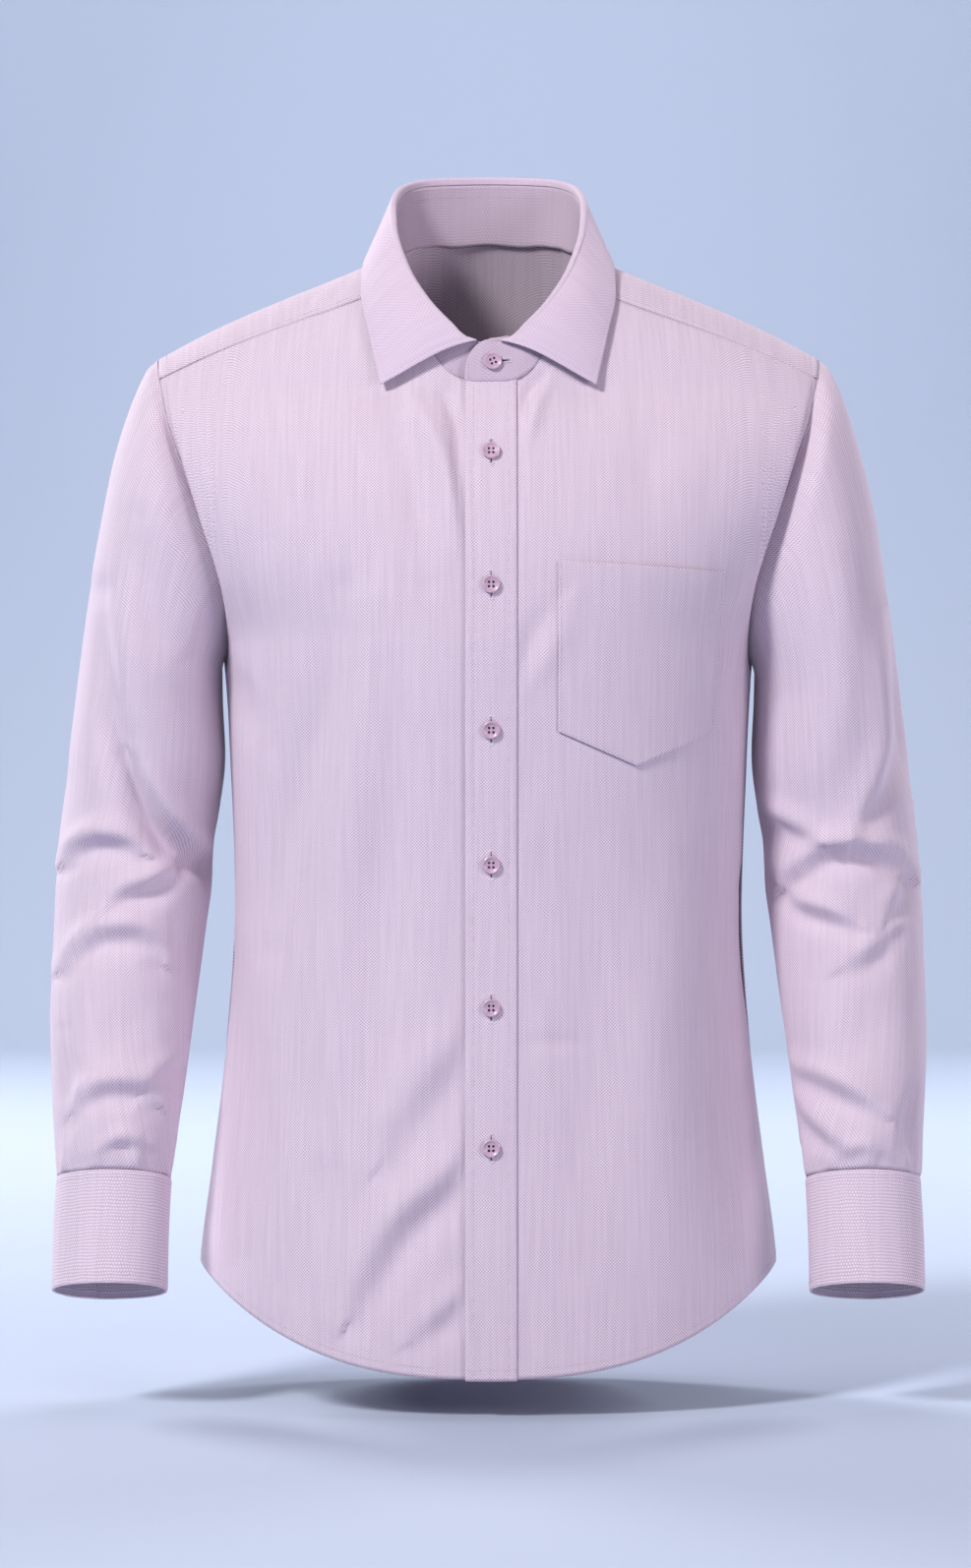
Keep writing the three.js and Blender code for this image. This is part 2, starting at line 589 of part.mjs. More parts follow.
const sleevePoint = (u, v) => {
  const turn = (((-360 * u) % 360) + 360) % 360;
  if (v < HEAD_FROM) return tubePoint(turn, lerp(SLEEVE_FOOT, TUBE_TOP, v / HEAD_FROM));
  return headPoint(turn, 1 - (v - HEAD_FROM) / (1 - HEAD_FROM));
};

// Large folds of the sleeves, seen from the front and from behind, for the wearer's left sleeve
// and, with the places across turned positive, for the right one.
const SLEEVE_FOLDS = {
  left: [
    { x1: 236, z1: -388, x2: 284, z2: -408, wide: 9, depth: -3.6 },
    { x1: 238, z1: -404, x2: 282, z2: -424, wide: 8, depth: 2 },
    { x1: 205, z1: -390, x2: 236, z2: -432, wide: 9, depth: -2.6 },
    { x1: 238, z1: -132, x2: 226, z2: -352, wide: 10, depth: 3 },
    { x1: 258, z1: -300, x2: 246, z2: -388, wide: 11, depth: 2.4 },
    { x1: 224, z1: -552, x2: 266, z2: -580, wide: 9, depth: -2.6 },
    { x1: 240, z1: -486, x2: 276, z2: -470, wide: 9, depth: -2.2 },
  ],
  right: [
    { x1: 262, z1: -250, x2: 254, z2: -345, wide: 10, depth: -3 },
    { x1: 252, z1: -345, x2: 206, z2: -418, wide: 10, depth: -3.2 },
    { x1: 238, z1: -196, x2: 196, z2: -280, wide: 11, depth: -3 },
    { x1: 284, z1: -408, x2: 244, z2: -396, wide: 9, depth: -2.8 },
    { x1: 284, z1: -420, x2: 246, z2: -408, wide: 8, depth: 2 },
    { x1: 288, z1: -478, x2: 258, z2: -454, wide: 9, depth: -2.2 },
    { x1: 280, z1: -600, x2: 240, z2: -566, wide: 9, depth: -2.6 },
  ],
  back: [
    { x1: 232, z1: -150, x2: 224, z2: -330, wide: 11, depth: -3 },
    { x1: 262, z1: -210, x2: 248, z2: -350, wide: 11, depth: 2.4 },
    { x1: 212, z1: -404, x2: 276, z2: -424, wide: 9, depth: -3 },
    { x1: 276, z1: -452, x2: 226, z2: -476, wide: 10, depth: -2.4 },
    { x1: 226, z1: -560, x2: 270, z2: -584, wide: 9, depth: -2.2 },
  ],
};
const sleeveLift = (front) => (u, v) => {
  const p = sleevePoint(u, v);
  const facing = Math.sin(degrees(-360 * u));
  const fade = ease(0.02, 0.1, v) * (1 - ease(0.93, 1, v)) * ease(0, 0.35, Math.abs(facing));
  return fade * foldLift(facing > 0 ? front : SLEEVE_FOLDS.back, p.x, p.z);
};
const SLEEVE_COLUMNS = 26;
const TUBE_ROWS = 14;
const HEAD_ROWS = 8;
const sleeveRows = [
  ...even(TUBE_ROWS).map((v) => v * HEAD_FROM),
  ...even(HEAD_ROWS).slice(1).map((v) => lerp(HEAD_FROM, 1, v)),
];
const sleeveGrid = { columns: even(SLEEVE_COLUMNS), rows: sleeveRows, round: true };
const leftLift = sleeveLift(SLEEVE_FOLDS.left);
const rightLift = sleeveLift(SLEEVE_FOLDS.right);
shirt.add(wall("sleeve_left", { ...sleeveGrid, point: sleevePoint, lift: leftLift }));
shirt.add(
  wall("sleeve_right", { ...sleeveGrid, point: mirrored(sleevePoint), lift: mirroredLift(rightLift) }),
);

// The band of each sleeve's opening: a layer on the sleeve, above the cuff's lap. Its grid keeps
// to the sleeve's own rows and columns.
const OPENING_COLUMN = 3;
const OPENING_COLUMNS = 2;
const OPENING_ROWS = 6;
const OPENING_FOOT = 0.08; // of a row, left free above the cuff
const onSleeve = (u, v) => [
  (OPENING_COLUMN + u * OPENING_COLUMNS) / SLEEVE_COLUMNS,
  (lerp(OPENING_FOOT, OPENING_ROWS, v) * HEAD_FROM) / TUBE_ROWS,
];
const openingPoint = (u, v) => sleevePoint(...onSleeve(u, v));
const openingLift = (lift) => (u, v) => LAYER + 0.05 + lift(...onSleeve(u, v));
const openingRows = [0, ...even(OPENING_ROWS).slice(1).map((v) => (v * OPENING_ROWS - OPENING_FOOT) / (OPENING_ROWS - OPENING_FOOT))];
const openingGrid = { columns: even(OPENING_COLUMNS), rows: openingRows };
shirt.add(
  wall("sleeve_placket_left", { ...openingGrid, point: openingPoint, lift: openingLift(leftLift) }),
  wall("sleeve_placket_right", {
    ...openingGrid,
    point: mirrored(openingPoint),
    lift: mirroredLift(openingLift(rightLift)),
  }),
);

// Cuffs
const cuffTurn = (u) => CUFF_LAP_FROM + (360 + CUFF_LAP) * (1 - u);
const cuffPoint = (u, v) => {
  const ring = { wide: CUFF_WIDE, deep: CUFF_DEEP, tip: CUFF_TIP };
  for (const key of ["x", "y", "z"]) ring[key] = lerp(CUFF_FOOT[key], CUFF_TOP[key], v);
  return ringPoint(ring, cuffTurn(u));
};
const cuffLift = (u) => {
  const upper = CUFF_LAP_FROM + 360;
  return (INTERLINED + 2 * SEAM) * ease(upper - CUFF_LAP_RISE, upper - 4, cuffTurn(u));
};
const cuffGrid = { columns: even(32), rows: even(2), thick: INTERLINED };
shirt.add(
  wall("cuff_left", { ...cuffGrid, point: cuffPoint, lift: cuffLift }),
  wall("cuff_right", { ...cuffGrid, point: mirrored(cuffPoint), lift: mirroredLift(cuffLift) }),
);

// Collar. Any angle round the neck, from the middle of the front at -90 by way of the left side.
const fold = Object.fromEntries(["x", "y", "z"].map((key) => [key, through(FOLD, "turn", key)]));
const edge = Object.fromEntries(["x", "y", "z"].map((key) => [key, through(COLLAR_EDGE, "turn", key)]));
function aroundNeck(angle, pointAt) {
  let side = angle > 90 ? -1 : 1;
  let turn = angle > 90 ? 180 - angle : angle;
  if (turn < -90) {
    turn = -180 - turn;
    side = -side;
  }
  const p = pointAt(turn);
  p.x *= side;
  return p;
}
const foldAt = (angle) => aroundNeck(angle, (t) => new THREE.Vector3(fold.x(t), fold.y(t), fold.z(t)));
const edgeAt = (angle) => aroundNeck(angle, (t) => new THREE.Vector3(edge.x(t), edge.y(t), edge.z(t)));
const neckAt = (angle) => aroundNeck(angle, necklinePoint);
const outwards = (pointAt, angle) => {
  const along = pointAt(angle + 0.5).sub(pointAt(angle - 0.5));
  return new THREE.Vector3(along.y, -along.x, 0).normalize();
};

// The leaf: up from its outer edge, over the fold and a little way down inside.
const leafInside = (angle) => {
  const turn = angle > 90 ? 180 - angle : angle;
  return lerp(COLLAR_ROLL + 0.4, COLLAR_INSIDE, ease(COLLAR_END, COLLAR_END + 8, turn));
};
const LEAF_OUTSIDE = 0.72;
const LEAF_OVER = 0.92;
function leafPoint(u, v) {
  const angle = lerp(COLLAR_END, 180 - COLLAR_END, u);
  const out = outwards(foldAt, angle);
  const middle = foldAt(angle);
  middle.z -= COLLAR_ROLL;
  const outer = middle.clone().addScaledVector(out, COLLAR_ROLL);
  if (v < LEAF_OUTSIDE) {
    const t = v / LEAF_OUTSIDE;
    const front = 1 - ease(-50, -15, angle > 90 ? 180 - angle : angle);
    const bow = lerp(COLLAR_CROWN_BACK, COLLAR_CROWN, front) * Math.sin(Math.PI * t) ** 0.8;
    const p = edgeAt(angle).lerp(outer, t);
    p.addScaledVector(out, bow);
    p.z += COLLAR_SWEEP * front * Math.sin(Math.PI * t ** 1.6);
    return p;
  }
  if (v < LEAF_OVER) {
    const roll = (Math.PI * (v - LEAF_OUTSIDE)) / (LEAF_OVER - LEAF_OUTSIDE);
    middle.addScaledVector(out, COLLAR_ROLL * Math.cos(roll));
    middle.z += COLLAR_ROLL * Math.sin(roll);
    return middle;
  }
  const down = ((v - LEAF_OVER) / (1 - LEAF_OVER)) * (leafInside(angle) - COLLAR_ROLL);
  middle.addScaledVector(out, -COLLAR_ROLL);
  middle.z -= down;
  return middle;
}
const leafRows = [
  ...even(5).map((v) => v * LEAF_OUTSIDE),
  ...even(4).slice(1).map((v) => lerp(LEAF_OUTSIDE, LEAF_OVER, v)),
  1,
];
shirt.add(wall("collar_leaf", { columns: even(38), rows: leafRows, point: leafPoint, thick: INTERLINED }));

// The stand: from the neckline up to the leaf. Its left end is buttoned over its right end.
const STAND_OVER = -99.5; // angles of its two ends
const STAND_UNDER = 279;
const STAND_CORNER = -87.5; // where its upper end's rounded corner begins
const standShare = (angle) => {
  // The upper end has a rounded corner.
  const t = clamp((STAND_CORNER - angle) / (STAND_CORNER - STAND_OVER), 0, 1);
  return Math.sqrt(1 - (t * 0.96) ** 2);
};
function standPoint(u, v) {
  const angle = lerp(STAND_OVER, STAND_UNDER, u);
  const turn = angle > 90 ? 180 - angle : angle;
  const over = 1 - ease(-80, -50, angle);
  const under = ease(232, 256, angle);
  const low = neckAt(angle).addScaledVector(outwards(neckAt, angle), lerp(-1.2, 1.6, over));
  low.z += 0.8 + 1 - ease(-60, -20, turn);
  const high = foldAt(angle).addScaledVector(outwards(foldAt, angle), INTERLINED - COLLAR_ROLL);
  high.z -= (leafInside(angle) + 4 * SEAM) * ease(-91, -87.5, turn);
  const p = low.clone().lerp(high, v * standShare(angle));
  return p.addScaledVector(outwards(foldAt, angle), -(INTERLINED + 2 * SEAM) * under);
}
const STAND_SPLIT = (STAND_CORNER - STAND_OVER) / (STAND_UNDER - STAND_OVER);
const standColumns = [
  ...[0, 0.06, 0.18, 0.4, 0.7].map((u) => u * STAND_SPLIT),
  ...even(46).map((u) => lerp(STAND_SPLIT, 1, u)),
];
shirt.add(wall("collar_stand", { columns: standColumns, rows: even(3), point: standPoint, thick: INTERLINED }));

// Chest pocket: a layer on the left front, with a pointed foot.
const pocketPoint = (u, v) => {
  const low = lerp(POCKET.tip, POCKET.corner, Math.abs(2 * u - 1));
  const z = lerp(low, POCKET.top - POCKET.topDrop * u, v);
  const down = (POCKET.top - z) / (POCKET.top - POCKET.corner);
  return onBody(lerp(POCKET.left, lerp(POCKET.rightTop, POCKET.rightFoot, down), u), z, frontSide);
};
const pocketLift = (u, v) => frontLift(pocketPoint(u, v)) + LAYER + POCKET_EASE;
shirt.add(wall("pocket", { columns: even(8), rows: even(8), point: pocketPoint, lift: pocketLift }));

// Buttons: each a disc with four holes, its back just clear of the cloth.
function button(name, place, normal) {
  const shape = new THREE.Shape().absarc(0, 0, BUTTON_RADIUS, 0, 2 * Math.PI);
  for (const sx of [-1, 1])
    for (const sy of [-1, 1])
      shape.holes.push(
        new THREE.Path(
          even(6).slice(1).map((t) => new THREE.Vector2(
            sx * BUTTON_HOLE_AT + BUTTON_HOLE * Math.cos(2 * Math.PI * t),
            sy * BUTTON_HOLE_AT + BUTTON_HOLE * Math.sin(2 * Math.PI * t),
          )),
        ),
      );
  const geometry = new THREE.ExtrudeGeometry(shape, {
    depth: BUTTON_THICK,
    bevelEnabled: false,
    curveSegments: 10,
  });
  const turned = new THREE.Quaternion().setFromUnitVectors(new THREE.Vector3(0, 0, 1), normal);
  geometry.applyQuaternion(turned);
  const at = place.clone().addScaledVector(normal, SEAM);
  geometry.translate(at.x, at.y, at.z);
  const mesh = new THREE.Mesh(geometry, shell());
  mesh.name = name;
  return mesh;
}
// The place and the normal of a piece's outer face.
function onPiece(point, u, v, lift) {
  const step = 1e-3;
  const across = point(u + step, v).sub(point(u - step, v));
  const along = point(u, v + step).sub(point(u, v - step));
  const normal = across.cross(along).normalize();
  return [point(u, v).addScaledVector(normal, lift), normal];
}

const standU = (-88.6 - STAND_OVER) / (STAND_UNDER - STAND_OVER);
shirt.add(button("button_1", ...onPiece(standPoint, standU, 0.48, 0)));
const bandU = (BUTTON_MIDDLE - PLACKET_EDGE) / (PLACKET_SEAM - PLACKET_EDGE);
BUTTON_HEIGHTS.forEach((z, i) => {
  const low = HEM_FRONT - 1;
  const v = z < ARMPIT ? (ARMPIT_ROW * (z - low)) / (ARMPIT - low)
    : lerp(ARMPIT_ROW, 1, (z - ARMPIT) / (frontTop(BUTTON_MIDDLE) - SEAM - ARMPIT));
  shirt.add(button(`button_${i + 2}`, ...onPiece(bandPoint, bandU, v, LAYER + 0.1)));
});
const lapU = 1 - (360 + CUFF_LAP * 0.55) / (360 + CUFF_LAP);
const cuffOut = cuffLift(lapU);
shirt.add(
  button("cuff_button_left", ...onPiece(cuffPoint, lapU, 0.5, cuffOut)),
  button("cuff_button_right", ...onPiece(mirrored(cuffPoint), 1 - lapU, 0.5, cuffOut)),
);

export default shirt;
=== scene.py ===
# A long sleeve dress shirt, buttoned up and filled out as it is when worn, with nothing inside.
# Metres. X runs to the wearer's left, Y to the wearer's back and Z up, from the middle of the neck.
import math

import bmesh
import bpy
import numpy as np
from mathutils import Matrix, Vector


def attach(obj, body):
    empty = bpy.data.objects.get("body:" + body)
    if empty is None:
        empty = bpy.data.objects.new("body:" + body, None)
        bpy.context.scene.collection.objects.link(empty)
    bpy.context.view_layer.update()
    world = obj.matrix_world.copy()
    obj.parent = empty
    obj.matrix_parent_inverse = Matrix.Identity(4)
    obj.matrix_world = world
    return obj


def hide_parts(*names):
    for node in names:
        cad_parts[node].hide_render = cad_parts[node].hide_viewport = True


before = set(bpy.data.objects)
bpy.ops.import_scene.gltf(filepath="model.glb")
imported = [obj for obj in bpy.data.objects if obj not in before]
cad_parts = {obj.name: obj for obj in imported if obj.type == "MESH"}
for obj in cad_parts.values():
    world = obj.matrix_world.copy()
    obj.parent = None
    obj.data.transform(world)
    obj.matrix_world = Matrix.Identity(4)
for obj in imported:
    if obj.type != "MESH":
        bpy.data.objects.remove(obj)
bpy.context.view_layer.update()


# FRONTS. Two panels of shirting, each cut in one piece from hem to shoulder and sewn to the back
# at the side, to the sleeve at the armhole and to the yoke above. The right one runs under the
# buttoned band; both keep the shape that a chest and waist give them.
CLOTH = 0.001
SEAM = 0.0003
LAYER = CLOTH + SEAM
ARMPIT = -0.262
ROUNDNESS = 2.3
FRONT_ARCH = -0.19
BACK_ARCH = -0.15
HEM_FRONT = -0.754
HEM_BACK = -0.762
HEM_SIDE = -0.685
HEM_CURVE = 2.6
LEFT_FRONT_EDGE = 0.003
UNDERLAP = 0.017
UNDERLAP_EASE = 0.026
BAND_EDGE = -0.0155
BAND_SEAM = 0.019
NECK_HALF_WIDTH = 0.064
NECK_FRONT_TURN = 66
NECK_BACK_TURN = 37.8
NECK_FRONT_SQUARENESS = 2.6
NECK_BACK_SQUARENESS = 2.2
YOKE_FRONT_TURN = 60
YOKE_BACK_SEAM = -0.08

# height, half width, depth in front, depth behind, middle
BODY = [
    (-0.790, 0.204, 0.119, 0.117, 0.002),
    (-0.685, 0.199, 0.118, 0.115, 0.002),
    (-0.620, 0.191, 0.117, 0.112, 0.003),
    (-0.540, 0.1815, 0.1155, 0.107, 0.004),
    (-0.440, 0.175, 0.115, 0.104, 0.005),
    (-0.340, 0.1785, 0.119, 0.110, 0.005),
    (-0.262, 0.184, 0.122, 0.117, 0.005),
    (-0.215, 0.214, 0.121, 0.117, 0.006),
    (-0.165, 0.247, 0.114, 0.114, 0.007),
    (-0.115, 0.2795, 0.101, 0.108, 0.008),
    (-0.084, 0.299, 0.088, 0.100, 0.009),
    (-0.040, 0.328, 0.087, 0.092, 0.010),
    (0.030, 0.373, 0.086, 0.085, 0.010),
    (0.090, 0.412, 0.086, 0.084, 0.010),
]
# place across, height of the shoulder's ridge
RIDGE = [(-0.032, 0.057), (0, 0.070), (0.032, 0.057), (0.050, 0.038), (0.064, 0.015), (0.076, 0.006),
         (0.089, 0), (0.138, -0.020), (0.169, -0.033), (0.197, -0.046), (0.225, -0.061), (0.260, -0.080)]
# height, place across in front, place across behind
ARMHOLE = [(-0.262, 0.184, 0.184), (-0.245, 0.185, 0.190), (-0.226, 0.1875, 0.198),
           (-0.200, 0.1945, 0.206), (-0.176, 0.2025, 0.212), (-0.147, 0.211, 0.218),
           (-0.115, 0.2195, 0.223), (-0.078, 0.2265, 0.2275), (-0.0632, 0.229, 0.229)]


def through(table, column):
    """A smooth curve through one column of a table, by its first column, with no overshoot."""
    rows = sorted(table)
    at = np.array([row[0] for row in rows], float)
    value = np.array([row[column] for row in rows], float)
    steps = np.diff(at)
    slopes = np.diff(value) / steps
    bends = [slopes[0]]
    for before, after in zip(slopes[:-1], slopes[1:]):
        bends.append(2 * before * after / (before + after) if before * after > 0 else 0)
    bends = np.array(bends + [slopes[-1]])

    def curve(v):
        v = np.clip(v, at[0], at[-1])
        i = np.clip(np.searchsorted(at, v, side="right") - 1, 0, len(steps) - 1)
        t = (v - at[i]) / steps[i]
        bow = (bends[i] - slopes[i]) * (1 - t) - (bends[i + 1] - slopes[i]) * t
        return value[i] + (value[i + 1] - value[i]) * t + bow * t * (1 - t) * steps[i]

    return curve


half_width, front_depth, back_depth, middle_depth = (through(BODY, i) for i in (1, 2, 3, 4))
ridge_height = through(RIDGE, 1)
armhole_front, armhole_back = through(ARMHOLE, 1), through(ARMHOLE, 2)


def ease(start, end, v):
    t = np.clip((v - start) / (end - start), 0, 1)
    return t * t * (3 - 2 * t)


def mix(a, b, t):
    return a + (b - a) * t


def bell(away, wide):
    return np.exp(-((away / wide) ** 2))


def ridge(x):
    return ridge_height(np.abs(x))


def on_body(x, z, side):
    """Points of the body's outer face. The side is -1 in front and 1 behind."""
    across = np.sqrt(np.maximum(0, 1 - (np.abs(x) / half_width(z)) ** ROUNDNESS))
    foot = np.where(side < 0, FRONT_ARCH, BACK_ARCH)
    rise = np.clip((z - foot) / (ridge(x) - foot), 0, 1)
    depth = np.where(side < 0, front_depth(z), back_depth(z))
    y = middle_depth(z) + side * depth * across * np.sqrt(1 - rise * rise)
    return np.stack(np.broadcast_arrays(x, y, z), axis=-1)


def turned_height(x, turn):
    foot = np.where(turn < 90, FRONT_ARCH, BACK_ARCH)
    return foot + (ridge(x) - foot) * np.sin(np.radians(turn))


def over_shoulder(x, turn):
    return on_body(x, turned_height(x, turn), np.where(turn < 90, -1, 1))


NECK_POINT = NECK_HALF_WIDTH * (
    1 - ((90 - YOKE_FRONT_TURN) / NECK_FRONT_TURN) ** NECK_FRONT_SQUARENESS
) ** (1 / NECK_FRONT_SQUARENESS)


def front_top(x):
    """The top edge of a front: the neckline near the middle, and then the yoke's seam."""
    away = np.abs(x)
    share = np.maximum(0, 1 - (away / NECK_HALF_WIDTH) ** NECK_FRONT_SQUARENESS)
    neck = 90 - NECK_FRONT_TURN * share ** (1 / NECK_FRONT_SQUARENESS)
    return turned_height(away, np.where(away >= NECK_POINT, YOKE_FRONT_TURN, neck))


def section_angle(x, z):
    return np.arccos(np.clip(np.sign(x) * (np.abs(x) / half_width(z)) ** (ROUNDNESS / 2), -1, 1))


def section_x(angle, z):
    flat = np.cos(angle)
    return half_width(z) * np.sign(flat) * np.abs(flat) ** (2 / ROUNDNESS)


def outer_angle(z, side):
    edge = (armhole_front if side < 0 else armhole_back)(z)
    return np.where(z > ARMPIT, section_angle(edge, z), 0)


def column_x(edge, share, z, side):
    return section_x(mix(section_angle(edge, z), outer_angle(z, side), share), z)


ARMPIT_ROW = 0.62


def panel(edge, side, top_of):
    """A body panel by its share across, from its inner edge, and its share up, from the hem."""

    def place(share, v):
        low = HEM_FRONT if side < 0 else HEM_BACK
        out = np.abs(column_x(edge, share, HEM_SIDE, side)) / half_width(HEM_SIDE)
        hem = low + (HEM_SIDE - low) * out**HEM_CURVE
        bottom, top = np.full(share.shape, ARMPIT), np.full(share.shape, 0.06)
        for _ in range(22):
            z = (bottom + top) / 2
            under = z < top_of(column_x(edge, share, z, side))
            bottom, top = np.where(under, z, bottom), np.where(under, top, z)
        z = np.where(
            v < ARMPIT_ROW,
            mix(hem, ARMPIT, v / ARMPIT_ROW),
            mix(ARMPIT, bottom - SEAM, (v - ARMPIT_ROW) / (1 - ARMPIT_ROW)),
        )
        return on_body(column_x(edge, share, z, side), z, side)

    return place


def length_along(line):
    return sum(np.linalg.norm(b - a, axis=-1) for a, b in zip(line[:-1], line[1:]))


def body_weave(side):
    """Where a point of the body lies on the flat cloth: along the level threads, and up."""

    def weave(u, v, p):
        x, z = p[:, 0], p[:, 2]
        angle = section_angle(x, z)
        ring = [on_body(section_x(mix(math.pi / 2, angle, s), z), z, side) for s in np.linspace(0, 1, 25)]
        rise = np.maximum(0, z - ARMPIT)
        line = [on_body(x, ARMPIT + rise * s, side) for s in np.linspace(0, 1, 17)]
        return length_along(ring) * np.sign(x), np.minimum(z, ARMPIT) + length_along(line)

    return weave


# Folds are paths as seen from the front (x, z), with half a width and a height. A "ridge" is
# rounded, or a groove where its height is less than 0. A "step" stands up on the left of its path
# and sinks on its right, like a small pillow of cloth over the next one.
FRONT_FOLDS = [
    ([(-0.098, -0.228), (-0.112, -0.300), (-0.130, -0.365), (-0.148, -0.470)], 0.0134, -0.0071, "ridge"),
    ([(-0.080, -0.236), (-0.086, -0.330), (-0.102, -0.430), (-0.110, -0.600)], 0.0168, 0.0065, "ridge"),
    ([(-0.068, -0.280), (-0.064, -0.350), (-0.072, -0.440), (-0.070, -0.560)], 0.0134, -0.0031, "ridge"),
    ([(-0.051, -0.096), (-0.037, -0.124), (-0.027, -0.151), (-0.019, -0.200)], 0.0067, 0.0051, "ridge"),
    ([(-0.064, -0.099), (-0.057, -0.131), (-0.050, -0.165), (-0.038, -0.222)], 0.009, -0.0044, "ridge"),
    ([(-0.030, -0.094), (-0.019, -0.124), (-0.016, -0.180)], 0.0045, -0.0068, "ridge"),
    ([(-0.092, -0.712), (-0.058, -0.652), (-0.034, -0.630), (-0.004, -0.600)], 0.0125, 0.0050, "step"),
    ([(-0.070, -0.606), (-0.044, -0.566), (-0.008, -0.520)], 0.0146, 0.0032, "step"),
    ([(-0.050, -0.728), (-0.030, -0.712), (-0.008, -0.690)], 0.0090, 0.0024, "step"),
    ([(0.022, -0.529), (0.066, -0.531)], 0.0045, -0.0012, "ridge"),
    ([(0.050, -0.236), (0.020, -0.292)], 0.009, 0.0018, "step"),
    ([(0.021, -0.130), (0.027, -0.103), (0.038, -0.084)], 0.0056, -0.0029, "step"),
    ([(0.172, -0.430), (0.164, -0.560), (0.172, -0.676)], 0.0157, -0.0044, "ridge"),
    ([(0.130, -0.400), (0.112, -0.540), (0.120, -0.700)], 0.0179, 0.0034, "ridge"),
    ([(0.060, -0.400), (0.070, -0.520), (0.058, -0.680)], 0.0157, -0.0027, "ridge"),
    ([(-0.172, -0.480), (-0.160, -0.600), (-0.166, -0.678)], 0.0123, -0.0037, "ridge"),
    ([(-0.140, -0.560), (-0.136, -0.640), (-0.140, -0.706)], 0.0134, 0.0031, "ridge"),
    ([(-0.150, -0.108), (-0.146, -0.190)], 0.0112, -0.0020, "ridge"),
    ([(0.112, -0.100), (0.106, -0.190)], 0.0123, -0.0020, "ridge"),
    ([(0.150, -0.330), (0.160, -0.300), (0.176, -0.274)], 0.009, -0.0027, "ridge"),
    ([(-0.154, -0.330), (-0.166, -0.300), (-0.178, -0.276)], 0.009, -0.0031, "ridge"),
]
# The sleeve hangs in a valley beside its seam: how deep, how far it reaches into the front and into
# the sleeve, and how flat its bottom is.
ARMHOLE_DIPS = {-1: (0.0145, 0.0034, 0.0095, 2), 1: (0.0170, 0.0036, 0.0110, 3)}


def fold_lift(folds, x, z):
    """How far soft folds raise the cloth: each is a rounded ridge or groove along a curved path."""
    lift = np.zeros(np.shape(x))
    for path, wide, height, kind in folds:
        marks = np.linspace(0, 1, len(path))
        t = np.linspace(0, 1, 4 * len(path) - 3)
        px = through([(m, p[0]) for m, p in zip(marks, path)], 1)(t)
        pz = through([(m, p[1]) for m, p in zip(marks, path)], 1)(t)
        nearest, off, run, gone = np.full(np.shape(x), 9.0), 0 * lift, 0 * lift, 0.0
        length = np.sum(np.hypot(np.diff(px), np.diff(pz)))
        for ax, az, bx, bz in zip(px[:-1], pz[:-1], px[1:], pz[1:]):
            dx, dz = bx - ax, bz - az
            step = math.hypot(dx, dz)
            s = np.clip(((x - ax) * dx + (z - az) * dz) / step**2, 0, 1)
            away = np.hypot(x - ax - s * dx, z - az - s * dz)
            near = away < nearest
            right = np.sign((x - ax) * dz - (z - az) * dx)
            nearest, off = np.where(near, away, nearest), np.where(near, away * right, off)
            run = np.where(near, (gone + s * step) / length, run)
            gone += step
        swell = 0.2 + 0.8 * np.sin(math.pi * np.clip(run, 0.06, 0.94))
        d = off / (wide * (0.75 + 0.5 * np.sin(math.pi * (0.15 + 0.75 * run))))
        shape = np.exp(-(d**2)) * (1 if kind == "ridge" else -2.33 * d)
        lift += height * swell * shape
    return lift


def armhole_dip(sign, inside, z):
    deep, reach, _, _ = ARMHOLE_DIPS[sign]
    open_part = ease(-0.290, -0.235, z) * (1 - ease(-0.19, -0.070, z)) ** 0.7
    return -deep * bell(np.maximum(inside, 0), reach) * open_part


def front_lift(p):
    x, z = p[:, 0], p[:, 2]
    clear = ease(0.0172, 0.025, np.abs(x - 0.002))
    slack = 0.0005 * np.sin(31 * x + 11 * z) * np.sin(17 * z - 9 * x + 1.3)
    dip = armhole_dip(-1, armhole_front(z) + x, z) + armhole_dip(1, armhole_front(z) - x, z)
    return (fold_lift(FRONT_FOLDS, x, z) + slack) * clear * ease(0, 0.01, armhole_front(z) - np.abs(x)) + dip


def surface(place, lift, u, v):
    """Points raised from a place by a lift, and the way that they face."""
    step = 1e-3
    across = place(np.minimum(u + step, 1), v) - place(np.maximum(u - step, 0), v)
    along = place(u, np.minimum(v + step, 1)) - place(u, np.maximum(v - step, 0))
    normal = np.cross(across, along)
    normal /= np.linalg.norm(normal, axis=-1, keepdims=True)
    p = place(u, v)
    return p + normal * np.broadcast_to(lift(u, v, p), u.shape)[:, None], normal


def cut_cloth(name, cloth, columns, rows, place, lift, weave, thick=CLOTH):
    """One cut piece: a fine grid bent to its place, with the cloth's thread lines as its UV map."""
    m = bmesh.new()
    bmesh.ops.create_grid(m, x_segments=len(columns) - 1, y_segments=len(rows) - 1, size=0.5)
    flat = np.array([v.co[:2] for v in m.verts]) + 0.5
    u = np.asarray(columns)[np.rint(flat[:, 0] * (len(columns) - 1)).astype(int)]
    v = np.asarray(rows)[np.rint(flat[:, 1] * (len(rows) - 1)).astype(int)]
    points, _ = surface(place, lift, u, v)
    along, up = weave(u, v, place(u, v))
    threads = m.loops.layers.uv.new("threads")
    m.verts.ensure_lookup_table()
    for vert, p in zip(m.verts, points):
        vert.co = p
    for face in m.faces:
        face.smooth = True
        for loop in face.loops:
            i = loop.vert.index
            loop[threads].uv = (along[i], up[i])
    bmesh.ops.remove_doubles(m, verts=m.verts, dist=1e-6)
    piece = finish_piece(name + "_cloth", m, cloth, thick)
    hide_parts(name)
    return piece


def mesh_of(name, m):
    mesh = bpy.data.meshes.new(name)
    m.to_mesh(mesh)
    m.free()
    return mesh


